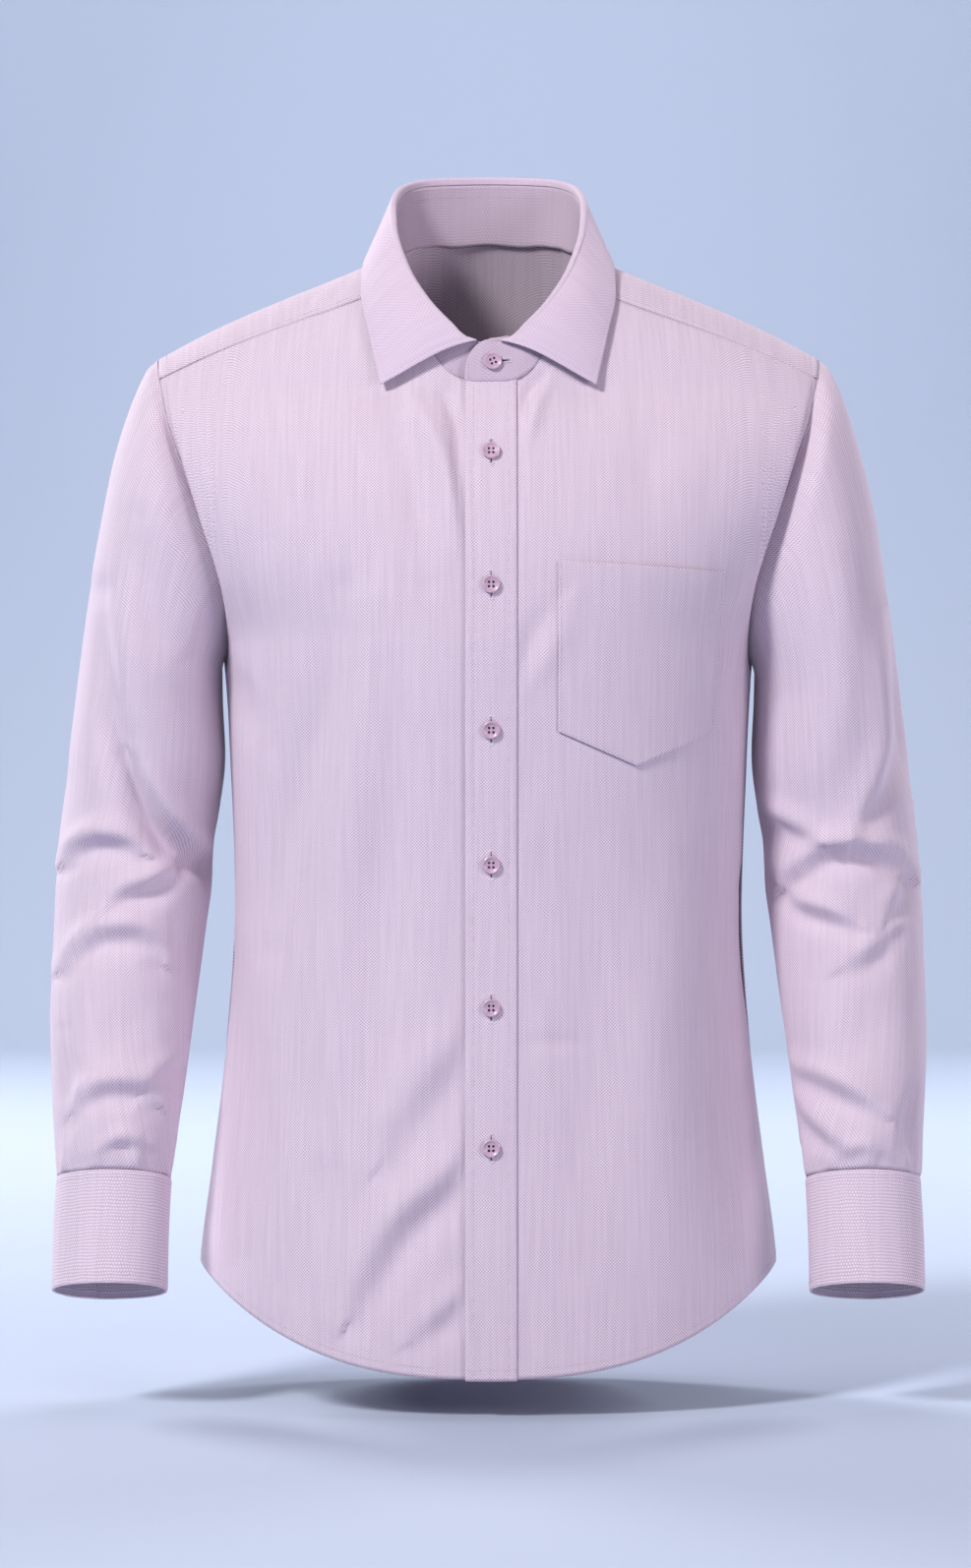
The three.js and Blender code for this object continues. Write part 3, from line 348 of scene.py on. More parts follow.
def in_scene(name, data):
    made = bpy.data.objects.new(name, data)
    bpy.context.scene.collection.objects.link(made)
    return made


def finish_piece(name, m, material, thick=0.0):
    piece = in_scene(name, mesh_of(name, m))
    piece.data.materials.append(material)
    if thick:
        wall = piece.modifiers.new("wall", "SOLIDIFY")
        wall.thickness = thick
        wall.offset = -1
    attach(piece, "root")
    return piece


def new_material(name, roughness):
    """A material, its shader, and a function that adds a node with its inputs set or linked."""
    made = bpy.data.materials.new(name)
    made.use_nodes = True
    nodes, link = made.node_tree.nodes, made.node_tree.links.new
    shader = nodes["Principled BSDF"]
    shader.inputs["Roughness"].default_value = roughness

    def node(kind, inputs, **settings):
        new = nodes.new("ShaderNode" + kind)
        for key, value in settings.items():
            setattr(new, key, value)
        for key, value in inputs.items():
            if isinstance(value, bpy.types.NodeSocket):
                link(value, new.inputs[key])
            else:
                new.inputs[key].default_value = value
        return new

    return made, shader, node, link


def shirting(name, across=0.00205, along=0.00205, rows=0.0, light=(0.82, 0.71, 0.80),
             dark=(0.29, 0.195, 0.30)):
    """Two-tone cotton on its own thread lines: pale and mauve dots, chequered like a basket weave.

    Rows above 0 adds level lines of dots, two to each period along.
    """
    made, shader, node, link = new_material(name, 0.86)
    shader.inputs["Specular IOR Level"].default_value = 0.25
    shader.inputs["Sheen Weight"].default_value = 0.18
    shader.inputs["Sheen Roughness"].default_value = 0.45
    lines = node("UVMap", {}, uv_map="threads").outputs["UV"]

    def maths(operation, *values, **settings):
        return node("Math", dict(enumerate(values)), operation=operation, **settings).outputs[0]

    # No thread runs quite straight, so the rows of dots drift by up to a third of a millimetre.
    drift = node("TexNoise", {"Vector": lines, "Scale": 95, "Detail": 1}).outputs["Color"]
    centred = node("VectorMath", {0: drift, 1: (0.5, 0.5, 0.5)}, operation="SUBTRACT").outputs["Vector"]
    drawn = node("VectorMath", {0: centred, 1: (0.0022, 0.0022, 0), 2: lines}, operation="MULTIPLY_ADD")
    split = node("SeparateXYZ", {0: drawn.outputs["Vector"]})

    def wave(axis, period):
        return maths("COSINE", maths("MULTIPLY", split.outputs[axis], 2 * math.pi / period))

    chequer = maths("MULTIPLY", wave("X", across), wave("Y", along))
    both = maths("MULTIPLY_ADD", wave("Y", along / 2), rows, chequer)
    level = maths("MULTIPLY_ADD", both, 0.5 / (1 + rows), 0.5, use_clamp=True)
    dots = maths("POWER", level, 0.62)
    # Slubs: threads that are a little thicker or paler for a few centimetres.
    drawn_out = node("Mapping", {"Vector": lines, "Scale": (420, 16, 1)}).outputs["Vector"]
    slub = node("TexNoise", {"Vector": drawn_out, "Scale": 1.0, "Detail": 2.0}).outputs["Fac"]
    shade = maths("ADD", dots, maths("MULTIPLY_ADD", slub, 0.26, -0.13))
    tone = node("Mix", {"Factor": shade, "A": (*dark, 1), "B": (*light, 1)}, data_type="RGBA")
    link(tone.outputs["Result"], shader.inputs["Base Color"])
    bump = node("Bump", {"Height": shade, "Strength": 0.25, "Distance": 0.0004})
    link(bump.outputs["Normal"], shader.inputs["Normal"])
    return made


body_cloth = shirting("shirting_body")


def even(count):
    return np.linspace(0, 1, count + 1)


def front(name, sign, edge):
    inner = panel(edge, -1, front_top)

    def place(u, v):
        p = inner(u if sign > 0 else 1 - u, v)
        p[:, 0] *= sign
        return p

    def lift(u, v, p):
        dip = 0
        if sign < 0:
            dip = -LAYER * (1 - ease(-BAND_EDGE, -BAND_EDGE + UNDERLAP_EASE, -p[:, 0]))
        return front_lift(p) + dip

    trim = 0.001
    columns = mix(0, 1 - trim, even(116)) if sign > 0 else mix(trim, 1, even(122))
    piece = cut_cloth(name, body_cloth, columns, even(270), place, lift, body_weave(-1))
    return piece, place, lift


front_left, *left_side = front("front_left", 1, LEFT_FRONT_EDGE)
front_right, *right_side = front("front_right", -1, -UNDERLAP)


# HEM. The tails' edge is turned up twice and held by one row of lockstitch, 6 mm from the fold.
# The thread matches the cloth, and each stitch pulls a little into it.
STITCH = 0.0026
STITCH_LONG = 0.0019
STITCH_ROUND = 0.00022
HEM_STITCH = 0.0065
HEM_TO_ARMPIT = 0.46


def mottled(name, roughness, scale, detail, low, high):
    """A material whose colour wanders between two tones."""
    made, shader, node, link = new_material(name, roughness)
    where = node("TexCoord", {}).outputs["Object"]
    cloud = node("TexNoise", {"Vector": where, "Scale": scale, "Detail": detail}).outputs["Fac"]
    tone = node("Mix", {"Factor": cloud, "A": (*low, 1), "B": (*high, 1)}, data_type="RGBA")
    link(tone.outputs["Result"], shader.inputs["Base Color"])
    return made, shader


def thread_material(name, colour):
    return mottled(name, 0.6, 1800, 2, [c * 0.8 for c in colour], colour)[0]


lilac_thread = thread_material("thread_lilac", (0.60, 0.50, 0.60))
m = bmesh.new()
bmesh.ops.create_uvsphere(m, u_segments=5, v_segments=4, radius=1)
for face in m.faces:
    face.smooth = True
stitch_shape = mesh_of("stitch_shape", m)


def one_stitch(sewn, at, way, out, long=STITCH_LONG, wide=STITCH_ROUND):
    """Adds the place of one stitch to a list: its centre, its length along the way, its thickness."""
    way = Vector(way).normalized()
    out = Vector(out).normalized()
    side = out.cross(way).normalized()
    turned = Matrix((side * wide, way * (long / 2), out * wide)).transposed().to_4x4()
    turned.translation = Vector(at) + out * (wide * 0.3)
    sewn.append(turned)


def sewn_piece(name, sewn, thread):
    """One object of all the stitches in a list."""
    m = bmesh.new()
    for _ in sewn:
        m.from_mesh(stitch_shape)
    count = len(stitch_shape.vertices)
    for i, vert in enumerate(m.verts):
        vert.co = sewn[i // count] @ vert.co
    finish_piece(name, m, thread)


def sew(sewn, points, normals):
    """Stitches at an even pitch along a line of points on the cloth."""
    steps = np.linalg.norm(np.diff(points, axis=0), axis=-1)
    run = np.concatenate([[0], np.cumsum(steps)])
    count = max(2, int(run[-1] / STITCH))
    marks = (np.arange(count) + 0.5) * run[-1] / count

    def at(marks, values):
        return np.stack([np.interp(marks, run, values[:, k]) for k in range(3)], axis=-1)

    here, ahead, out = at(marks, points), at(marks + STITCH / 4, points), at(marks, normals)
    back = at(marks - STITCH / 4, points)
    for a, b, c, n in zip(here, ahead, back, out):
        one_stitch(sewn, a, b - c, n)


def sewn_line(place, lift, u, v):
    u, v = np.broadcast_arrays(np.asarray(u, float), np.asarray(v, float))
    return surface(place, lift, u.copy(), v.copy())


def sewn_lines(place, lift, *lines):
    return [sewn_line(place, lift, u, v) for u, v in lines]


def stitching(name, *lines):
    """One object of all the stitches along some lines of points and normals."""
    sewn = []
    for points, normals in lines:
        sew(sewn, points, normals)
    sewn_piece(name, sewn, lilac_thread)


armhole_rise = np.linspace(0.68, 0.992, 70)
stitching(
    "armhole_stitching",
    sewn_line(*left_side, 0.972, armhole_rise),
    sewn_line(*right_side, 0.028, armhole_rise),
)
hem_share = HEM_STITCH / HEM_TO_ARMPIT * ARMPIT_ROW
stitching(
    "hem_stitching_front",
    sewn_line(*left_side, np.linspace(0.08, 0.995, 90), hem_share),
    sewn_line(*right_side, np.linspace(0.005, 0.88, 90), hem_share),
)


# FRONT BAND. A doubled strip of the same shirting, 34.5 mm wide, laid on the left front and sewn
# down along both edges. It carries six upright buttonholes, each worked round in close thread.
BAND_LIFT = LAYER + 0.0001
BAND_STITCH = 0.0055
BUTTON_MIDDLE = 0.0018
BUTTON_HEIGHTS = [-0.1345, -0.224, -0.321, -0.411, -0.5065, -0.600]
HOLE_LONG = 0.0195
HOLE_PITCH = 0.00065
HOLE_EDGE_AWAY = 0.00125
HOLE_EDGE_LONG, HOLE_EDGE_ROUND = 0.0014, 0.0003
HOLE_BAR_LONG, HOLE_BAR_ROUND = 0.0034, 0.0004
HOLE_SLIT_ROUND = 0.00055


def rounded_edge(away, deep=0.0004, wide=0.0007):
    """A turned edge isn't sharp: it falls away over the last of its width."""
    return -deep * bell(away, wide)


def sunk_stitches(away):
    return -0.00022 * bell(away, 0.0009)


def band_place(u, v):
    x = mix(BAND_EDGE, BAND_SEAM, u)
    rise = (np.abs(x) / half_width(HEM_SIDE)) ** HEM_CURVE
    low = mix(HEM_FRONT, HEM_SIDE, rise) - 0.001
    z = np.where(
        v < ARMPIT_ROW,
        mix(low, ARMPIT, v / ARMPIT_ROW),
        mix(ARMPIT, front_top(x) - SEAM, (v - ARMPIT_ROW) / (1 - ARMPIT_ROW)),
    )
    return on_body(x, z, -1)


def band_lift(u, v, p):
    across = u * (BAND_SEAM - BAND_EDGE)
    edge = np.minimum(across, BAND_SEAM - BAND_EDGE - across)
    pucker = 0.00012 * np.sin(p[:, 2] * 520) * bell(edge - 0.0045, 0.003)
    return BAND_LIFT + rounded_edge(edge) + sunk_stitches(edge - BAND_STITCH) + pucker


band_columns = [0, 0.012, 0.03, 0.08, 0.13, 0.16, 0.19, 0.3, 0.4, 0.5, 0.6, 0.7, 0.81, 0.84, 0.87, 0.92,
                0.97, 0.988, 1]
band = cut_cloth("placket", body_cloth, band_columns, even(300), band_place, band_lift, body_weave(-1))
band_in = BAND_STITCH / (BAND_SEAM - BAND_EDGE)
upwards = np.linspace(0.004, 0.996, 300)


def band_height(z):
    low = HEM_FRONT - 0.001
    if z < ARMPIT:
        return ARMPIT_ROW * (z - low) / (ARMPIT - low)
    return mix(ARMPIT_ROW, 1, (z - ARMPIT) / (front_top(BUTTON_MIDDLE) - SEAM - ARMPIT))


def spot(place, lift, u, v):
    """One point on a piece, with the way it faces and the way its columns run."""
    p, n = sewn_line(place, lift, [u, u], [v - 1e-3, v + 1e-3])
    middle = Vector(p.mean(axis=0))
    return middle, Vector(n.mean(axis=0)).normalized(), Vector(p[1] - p[0]).normalized()


def worked_hole(at, out, way, long=HOLE_LONG):
    """A buttonhole: close stitches down both sides, a bar at each end, and in the slit between a near-black
    sliver that is a painted shadow.
    """
    side = way.cross(out).normalized()
    count = int(long / HOLE_PITCH)
    for k in range(count):
        along = (k / (count - 1) - 0.5) * long
        for s in (-1, 1):
            stitch_at = at + way * along + side * (HOLE_EDGE_AWAY * s)
            one_stitch(hole_edges, stitch_at, side, out, HOLE_EDGE_LONG, HOLE_EDGE_ROUND)
    for s in (-1, 1):
        one_stitch(hole_edges, at + way * (long / 2 * s), side, out, HOLE_BAR_LONG, HOLE_BAR_ROUND)
    one_stitch(hole_slit_shadows, at, way, out, long, HOLE_SLIT_ROUND)


hole_edges, hole_slit_shadows = [], []
band_middle = (BUTTON_MIDDLE - BAND_EDGE) / (BAND_SEAM - BAND_EDGE)
button_spots = [spot(band_place, band_lift, band_middle, band_height(z)) for z in BUTTON_HEIGHTS]
for height in BUTTON_HEIGHTS:
    worked_hole(*spot(band_place, band_lift, band_middle, band_height(height - 0.0003)))
band_hem = (np.linspace(0.02, 0.98, 12), band_height(HEM_FRONT + HEM_STITCH))
stitching("band_stitching",
          *sewn_lines(band_place, band_lift, (band_in, upwards), (1 - band_in, upwards), band_hem))


# POCKET. One layer of shirting on the left chest, with a pointed foot. Its sides and foot are
# turned in and sewn 1.5 mm from the edge, and its top is a hem 30 mm deep.
POCKET_LEFT = 0.0465
POCKET_RIGHT_TOP = 0.159
POCKET_RIGHT_FOOT = 0.153
POCKET_TOP = -0.208
POCKET_DROP = 0.006
POCKET_CORNER = -0.322
POCKET_TIP = -0.345
POCKET_EASE = 0.00055
POCKET_HEM = 0.030
POCKET_WIDE = 0.111
POCKET_SIDE_LONG = 0.118
POCKET_MIDDLE_LONG = 0.125


def pocket_place(u, v):
    low = mix(POCKET_TIP, POCKET_CORNER, np.abs(2 * u - 1))
    z = mix(low, POCKET_TOP - POCKET_DROP * u, v)
    down = (POCKET_TOP - z) / (POCKET_TOP - POCKET_CORNER)
    return on_body(mix(POCKET_LEFT, mix(POCKET_RIGHT_TOP, POCKET_RIGHT_FOOT, down), u), z, -1)


def pocket_lift(u, v, p):
    side = np.minimum(u, 1 - u) * POCKET_WIDE
    foot = v * POCKET_SIDE_LONG
    pressed = rounded_edge(np.minimum(side, foot), 0.0002, 0.0008)
    gape = 0.0010 * bell(1 - v, 0.12) * np.sin(math.pi * u)
    groove = -0.0002 * bell((1 - v) * POCKET_MIDDLE_LONG - POCKET_HEM, 0.0009)
    return front_lift(p) + LAYER + POCKET_EASE + pressed + gape + groove


pocket_rows = np.union1d(even(48), [0.004, 0.012, 0.985, 0.996])
pocket_columns = np.union1d(even(44), [0.004, 0.012, 0.988, 0.996])
pocket = cut_cloth("pocket", body_cloth, pocket_columns, pocket_rows, pocket_place, pocket_lift,
                   body_weave(-1))
near, far = 0.014, 0.986
pocket_rise = np.linspace(0.014, 0.995, 60)
stitching("pocket_stitching", *sewn_lines(
    pocket_place, pocket_lift, (near, pocket_rise), (far, pocket_rise), (np.linspace(near, far, 81), 0.013),
    (np.linspace(near, far, 60), 1 - POCKET_HEM / POCKET_MIDDLE_LONG)))


# BACK. One panel of shirting from side seam to side seam, under the yoke. It isn't seen in the
# photograph, so it is plain, with the long soft folds of a shirt that hangs from the shoulders.
BACK_FOLDS = [
    ([(-0.098, -0.430), (-0.072, -0.240), (-0.060, -0.110)], 0.0154, -0.0053, "ridge"),
    ([(0.094, -0.410), (0.080, -0.260), (0.064, -0.120)], 0.0143, -0.0053, "ridge"),
    ([(-0.032, -0.700), (-0.012, -0.520), (0.010, -0.370)], 0.0165, -0.0045, "ridge"),
    ([(-0.104, -0.710), (-0.110, -0.560), (-0.122, -0.430)], 0.0154, 0.0042, "ridge"),
    ([(0.104, -0.720), (0.114, -0.560), (0.118, -0.420)], 0.0165, 0.0042, "ridge"),
    ([(0.174, -0.240), (0.164, -0.170), (0.150, -0.110)], 0.0099, -0.0042, "ridge"),
    ([(-0.176, -0.246), (-0.166, -0.170), (-0.152, -0.112)], 0.0099, -0.0042, "ridge"),
    ([(0.064, -0.430), (0.120, -0.392), (0.150, -0.330)], 0.011, 0.0035, "step"),
    ([(-0.156, -0.318), (-0.118, -0.376), (-0.070, -0.402)], 0.0121, 0.0032, "step"),
    ([(0.046, -0.730), (0.052, -0.620), (0.040, -0.520)], 0.0143, 0.0027, "ridge"),
    ([(-0.026, -0.200), (-0.020, -0.090)], 0.0154, 0.0018, "ridge"),
]


def back_place(u, v):
    p = back_half(np.abs(1 - 2 * u), v)
    p[:, 0] *= np.sign(0.5 - u)
    return p


def back_lift(u, v, p):
    x, z = p[:, 0], p[:, 2]
    slack = 0.0006 * np.sin(23 * x + 9 * z + 1) * np.sin(15 * z + 7 * x)
    return fold_lift(BACK_FOLDS, x, z) + slack


back_half = panel(0, 1, lambda x: np.full(np.shape(x), YOKE_BACK_SEAM))
back_columns = mix(0.0006, 0.9994, even(200))
back = cut_cloth("back", body_cloth, back_columns, even(210), back_place, back_lift, body_weave(1))
stitching("hem_stitching_back", sewn_line(back_place, back_lift, np.linspace(0.003, 0.997, 240), hem_share))


# YOKE. The piece over both shoulders, sewn to the fronts 60 mm forward of the neck's side and to
# the back across the shoulder blades. Its seams are pressed and topstitched 1.5 mm from the edge.
YOKE_SIDE_SHARE = 0.3
YOKE_SIDE_ANGLE = 28
YOKE_FOLDS = [
    ([(-0.130, -0.034), (-0.118, -0.019)], 0.003, -0.0010, "ridge"),
    ([(-0.121, -0.033), (-0.109, -0.017)], 0.003, 0.0010, "ridge"),
    ([(-0.112, -0.031), (-0.100, -0.015)], 0.003, -0.0009, "ridge"),
    ([(-0.102, -0.029), (-0.092, -0.012)], 0.003, 0.0008, "ridge"),
]


def neckline(angle):
    """The neckline's place across and turn over the shoulder; 90 is the back and -90 the front."""
    square = np.where(angle < 0, NECK_FRONT_SQUARENESS, NECK_BACK_SQUARENESS)
    reach = np.where(angle < 0, -NECK_FRONT_TURN, NECK_BACK_TURN)
    a = np.radians(angle)
    across = NECK_HALF_WIDTH * np.abs(np.cos(a)) ** (2 / square)
    return across, 90 + reach * np.abs(np.sin(a)) ** (2 / square)


def turn_at(x, z):
    share = np.clip((z - BACK_ARCH) / (ridge(x) - BACK_ARCH), 0, 1)
    return 180 - np.degrees(np.arcsin(share))


yoke_front_angle = -math.degrees(
    math.asin(((90 - YOKE_FRONT_TURN) / NECK_FRONT_TURN) ** (NECK_FRONT_SQUARENESS / 2))
)
front_tip = float(armhole_front(-0.078))
back_tip = float(armhole_back(YOKE_BACK_SEAM))


def yoke_place(u, v):
    inward = 1 - np.abs(1 - 2 * u)
    s = np.clip(inward / YOKE_SIDE_SHARE, 0, 1)
    tip_turn = turn_at(np.array(back_tip), YOKE_BACK_SEAM + SEAM)
    side_x = mix(mix(front_tip, 0.229, np.sin(math.pi * s)), back_tip, s) - SEAM
    side_turn = mix(YOKE_FRONT_TURN, tip_turn, s)
    r = np.clip((inward - YOKE_SIDE_SHARE) / (1 - YOKE_SIDE_SHARE), 0, 1)
    back_x = mix(back_tip - SEAM, 0, r)
    at_side = inward < YOKE_SIDE_SHARE
    outer_x = np.where(at_side, side_x, back_x)
    outer_turn = np.where(at_side, side_turn, turn_at(back_x, YOKE_BACK_SEAM + SEAM))
    angle = np.where(at_side, mix(yoke_front_angle, YOKE_SIDE_ANGLE, s), mix(YOKE_SIDE_ANGLE, 90, r))
    inner_x, inner_turn = neckline(angle)
    x, turn = mix(outer_x, inner_x, v), mix(outer_turn, inner_turn, v)
    p = over_shoulder(x, turn)
    p[:, 0] *= np.sign(0.5 - u)
    return p


def yoke_lift(u, v, p):
    front = np.where(p[:, 1] < 0.02, 1, 0)
    return front * fold_lift(YOKE_FOLDS, p[:, 0], p[:, 2])


def yoke_threads(u, v, p):
    x, z = p[:, 0], p[:, 2]
    side = np.where(p[:, 1] > middle_depth(z), 1, -1)
    top = ridge(x)
    line = [on_body(x, mix(top, z, s**2), side) for s in np.linspace(0, 1, 17)]
    return x, length_along(line) * side


yoke_columns = mix(0.0004, 0.9996, even(220))
yoke = cut_cloth("yoke", body_cloth, yoke_columns, even(56), yoke_place, yoke_lift, yoke_threads)
yoke_front = np.linspace(0.04, 0.98, 70)
stitching("yoke_stitching", *sewn_lines(
    yoke_place, yoke_lift, (0.006, yoke_front), (0.994, yoke_front), (np.linspace(0.006, 0.994, 400), 0.035)))


# SLEEVES. Each is one piece of shirting, closed by a seam under the arm and set into the armhole.
# The cloth stands a little full at the top, falls straight to the elbow, where the arm's bend
# gathers it, and is eased into the cuff.
# height, middle across, middle in depth, half width, half depth, tip in degrees
SLEEVE = [
    (-0.300, 0.2350, 0.008, 0.0510, 0.066, 0),
    (-0.345, 0.2370, 0.010, 0.0542, 0.064, 0.4),
    (-0.373, 0.2406, 0.011, 0.0542, 0.0615, 1.5),
    (-0.400, 0.2442, 0.011, 0.0534, 0.0595, 3),
    (-0.427, 0.2456, 0.0085, 0.0538, 0.058, 4.8),
    (-0.454, 0.2478, 0.004, 0.0526, 0.0565, 6.8),
    (-0.481, 0.2496, -0.0025, 0.0512, 0.055, 8.8),
    (-0.509, 0.2516, -0.0095, 0.0498, 0.053, 10.8),
    (-0.536, 0.253, -0.017, 0.0479, 0.051, 12.6),
    (-0.563, 0.2539, -0.025, 0.0456, 0.0485, 14),
    (-0.590, 0.2547, -0.0327, 0.0428, 0.0455, 15),
    (-0.614, 0.255, -0.040, 0.0402, 0.041, 15.2),
    (-0.6256, 0.2553, -0.0434, 0.0386, 0.0352, 15.2),
]
# turn round the armhole, and the way that the cloth leaves it
SLEEVE_HEAD = [
    (0, 0.63, 0, -0.78), (40, 0.72, -0.3, -0.62), (90, 0.6, -0.45, -0.66), (140, 0.3, -0.3, -0.9),
    (180, 0.02, 0, -1), (220, 0.3, 0.3, -0.9), (270, 0.62, 0.42, -0.66), (320, 0.72, 0.28, -0.63),
    (360, 0.63, 0, -0.78),
]
ARMHOLE_TOP = -0.0632
HEAD_PULL = 0.64
TUBE_PULL = 0.66
TUBE_TOP = -0.300
SLEEVE_FOOT = -0.6256
HEAD_FROM = 0.58
LEFT_FOLDS = [
    ([(0.2734, -0.2385), (0.2761, -0.2894), (0.2772, -0.3239), (0.2714, -0.3503), (0.2619, -0.3695),
      (0.2500, -0.3925)], 0.01, -0.0056, "step"),
    ([(0.1851, -0.3684), (0.1973, -0.3811), (0.2105, -0.3891), (0.2253, -0.3962)], 0.0078, 0.0046, "step"),
    ([(0.2005, -0.4280), (0.2125, -0.4172), (0.2259, -0.4062), (0.2411, -0.4018), (0.2581, -0.4018),
      (0.2772, -0.4079), (0.2895, -0.4193)], 0.0086, 0.0066, "step"),
    ([(0.2012, -0.4304), (0.2144, -0.4407), (0.2333, -0.4474), (0.2520, -0.4547)], 0.0072, 0.0046, "step"),
    ([(0.1764, -0.4259), (0.2052, -0.4259)], 0.008, -0.007, "ridge"),
    ([(0.2416, -0.4827), (0.2578, -0.4740), (0.2741, -0.4607)], 0.0085, 0.0034, "step"),
    ([(0.2721, -0.4474), (0.2808, -0.4340), (0.2862, -0.4226)], 0.0075, 0.0028, "step"),
    ([(0.2060, -0.5520), (0.2206, -0.5566), (0.2376, -0.5638), (0.2526, -0.5715),
      (0.2654, -0.5796)], 0.008, 0.0046, "step"),
    ([(0.2097, -0.5756), (0.2201, -0.5888), (0.2313, -0.5992), (0.2398, -0.6058)], 0.0072, 0.0038, "step"),
    ([(0.2411, -0.6090), (0.2501, -0.6050), (0.2610, -0.6064)], 0.006, 0.0028, "step"),
    ([(0.2695, -0.4926), (0.2557, -0.5257), (0.2354, -0.5454)], 0.014, -0.0026, "ridge"),
    ([(0.2129, -0.4793), (0.2172, -0.5125), (0.2155, -0.5388)], 0.013, 0.002, "ridge"),
    ([(0.2886, -0.5638), (0.2851, -0.5920), (0.2869, -0.6162)], 0.005, -0.0046, "ridge"),
    ([(0.2366, -0.1984), (0.2420, -0.2586), (0.2333, -0.3188), (0.2166, -0.3590)], 0.015, 0.0034, "ridge"),
]
RIGHT_FOLDS = [
    ([(0.1717, -0.4259), (0.1882, -0.4176), (0.1985, -0.4108), (0.2172, -0.3938), (0.2360, -0.3695),
      (0.2491, -0.3431), (0.2597, -0.3111), (0.2649, -0.2733), (0.2668, -0.2251)], 0.0100, -0.0115, "ridge"),
    ([(0.1717, -0.4213), (0.1882, -0.4126), (0.1985, -0.4052), (0.2172, -0.3871), (0.2333, -0.3630),
      (0.2453, -0.3389)], 0.0085, 0.0065, "step"),
    ([(0.2052, -0.2707), (0.2232, -0.2519), (0.2319, -0.2251), (0.2380, -0.1783)], 0.012, -0.0065, "ridge"),
    ([(0.2373, -0.4032), (0.2491, -0.3969), (0.2642, -0.3947), (0.2793, -0.3996),
      (0.2908, -0.4106)], 0.008, 0.0058, "step"),
    ([(0.2118, -0.4139), (0.2303, -0.4259), (0.2491, -0.4322), (0.2574, -0.4407)], 0.0075, 0.0044, "step"),
    ([(0.2223, -0.4754), (0.2284, -0.4646), (0.2435, -0.4578), (0.2604, -0.4586), (0.2754, -0.4672),
      (0.2904, -0.4820)], 0.0082, 0.0052, "step"),
    ([(0.2264, -0.5717), (0.2345, -0.5625), (0.2551, -0.5619), (0.2699, -0.5674),
      (0.2821, -0.5783)], 0.008, 0.0048, "step"),
    ([(0.2067, -0.5487), (0.2206, -0.5533), (0.2305, -0.5606)], 0.008, 0.0024, "step"),
    ([(0.2326, -0.6025), (0.2470, -0.5993), (0.2604, -0.6044)], 0.006, 0.0034, "step"),
    ([(0.2312, -0.5125), (0.2510, -0.5257), (0.2706, -0.5487)], 0.013, -0.0026, "ridge"),
    ([(0.2085, -0.4393), (0.2131, -0.4661), (0.2100, -0.4992)], 0.011, -0.0024, "ridge"),
    ([(0.2897, -0.5257), (0.2863, -0.5652), (0.2882, -0.6077)], 0.006, -0.004, "ridge"),
]
BEHIND_FOLDS = [
    ([(0.216, -0.340), (0.228, -0.240), (0.236, -0.160)], 0.0137, -0.0042, "ridge"),
    ([(0.248, -0.360), (0.256, -0.280), (0.262, -0.200)], 0.0137, 0.0036, "ridge"),
    ([(0.208, -0.408), (0.240, -0.398), (0.284, -0.412)], 0.01, 0.0050, "step"),
    ([(0.212, -0.436), (0.244, -0.446), (0.274, -0.440)], 0.0088, 0.0039, "step"),
    ([(0.218, -0.486), (0.252, -0.472), (0.284, -0.480)], 0.01, 0.0042, "step"),
    ([(0.222, -0.552), (0.250, -0.572), (0.280, -0.578)], 0.0088, 0.0042, "step"),
    ([(0.224, -0.600), (0.246, -0.592), (0.270, -0.604)], 0.0075, 0.0034, "step"),
]
tube = [through(SLEEVE, i) for i in range(6)]
head = [through(SLEEVE_HEAD, i) for i in range(4)]


def ring_point(ring, turn):
    x, y, z, wide, deep, tip = ring
    forward = deep * np.sin(np.radians(turn))
    tip = np.radians(tip)
    p = (x + wide * np.cos(np.radians(turn)), y - forward * np.cos(tip), z + forward * np.sin(tip))
    return np.stack(np.broadcast_arrays(*p), axis=-1)


def tube_point(turn, z):
    return ring_point((tube[1](z), tube[2](z), z, tube[3](z), tube[4](z), tube[5](z)), turn)


def unit(p):
    return p / np.linalg.norm(p, axis=-1, keepdims=True)


def head_point(turn, t, sign=1):
    z = mix(ARMPIT, ARMHOLE_TOP, (1 + np.cos(np.radians(turn))) / 2)
    side = np.where(np.sin(np.radians(turn)) >= 0, -1, 1)
    seam = np.where(side < 0, armhole_front(z), armhole_back(z))
    start = on_body(seam, z, side)
    across = on_body(seam + 1e-4, z, side) - on_body(seam - 1e-4, z, side)
    up = on_body(seam, z + 1e-4, side) - on_body(seam, z - 1e-4, side)
    in_front = ease(0, 0.35, np.sin(np.radians(turn)))
    _, _, wide, flatness = ARMHOLE_DIPS[sign]
    end = tube_point(turn, np.full(np.shape(turn), TUBE_TOP))
    reach = np.linalg.norm(end - start, axis=-1, keepdims=True)
    leave = unit(np.stack([head[1](turn), head[2](turn), head[3](turn)], axis=-1)) * reach * HEAD_PULL
    arrive = unit(tube_point(turn, TUBE_TOP - 0.001 + 0 * turn) - end) * reach * TUBE_PULL
    gone = t * reach[..., 0] * HEAD_PULL
    sunk = armhole_dip(sign, 0 * z, z) * in_front * np.exp(-((gone / wide) ** flatness))
    t = t[..., None]
    return (start * (2 * t**3 - 3 * t**2 + 1) + leave * (t**3 - 2 * t**2 + t)
            + end * (3 * t**2 - 2 * t**3) + arrive * (t**3 - t**2)
            - unit(np.cross(across, up)) * (side * sunk)[..., None])


def sleeve_turn(u):
    """Round the arm from the seam underneath; 0 is the outside, 90 the front, 270 the back."""
    return np.mod(180 - 360 * u, 360)


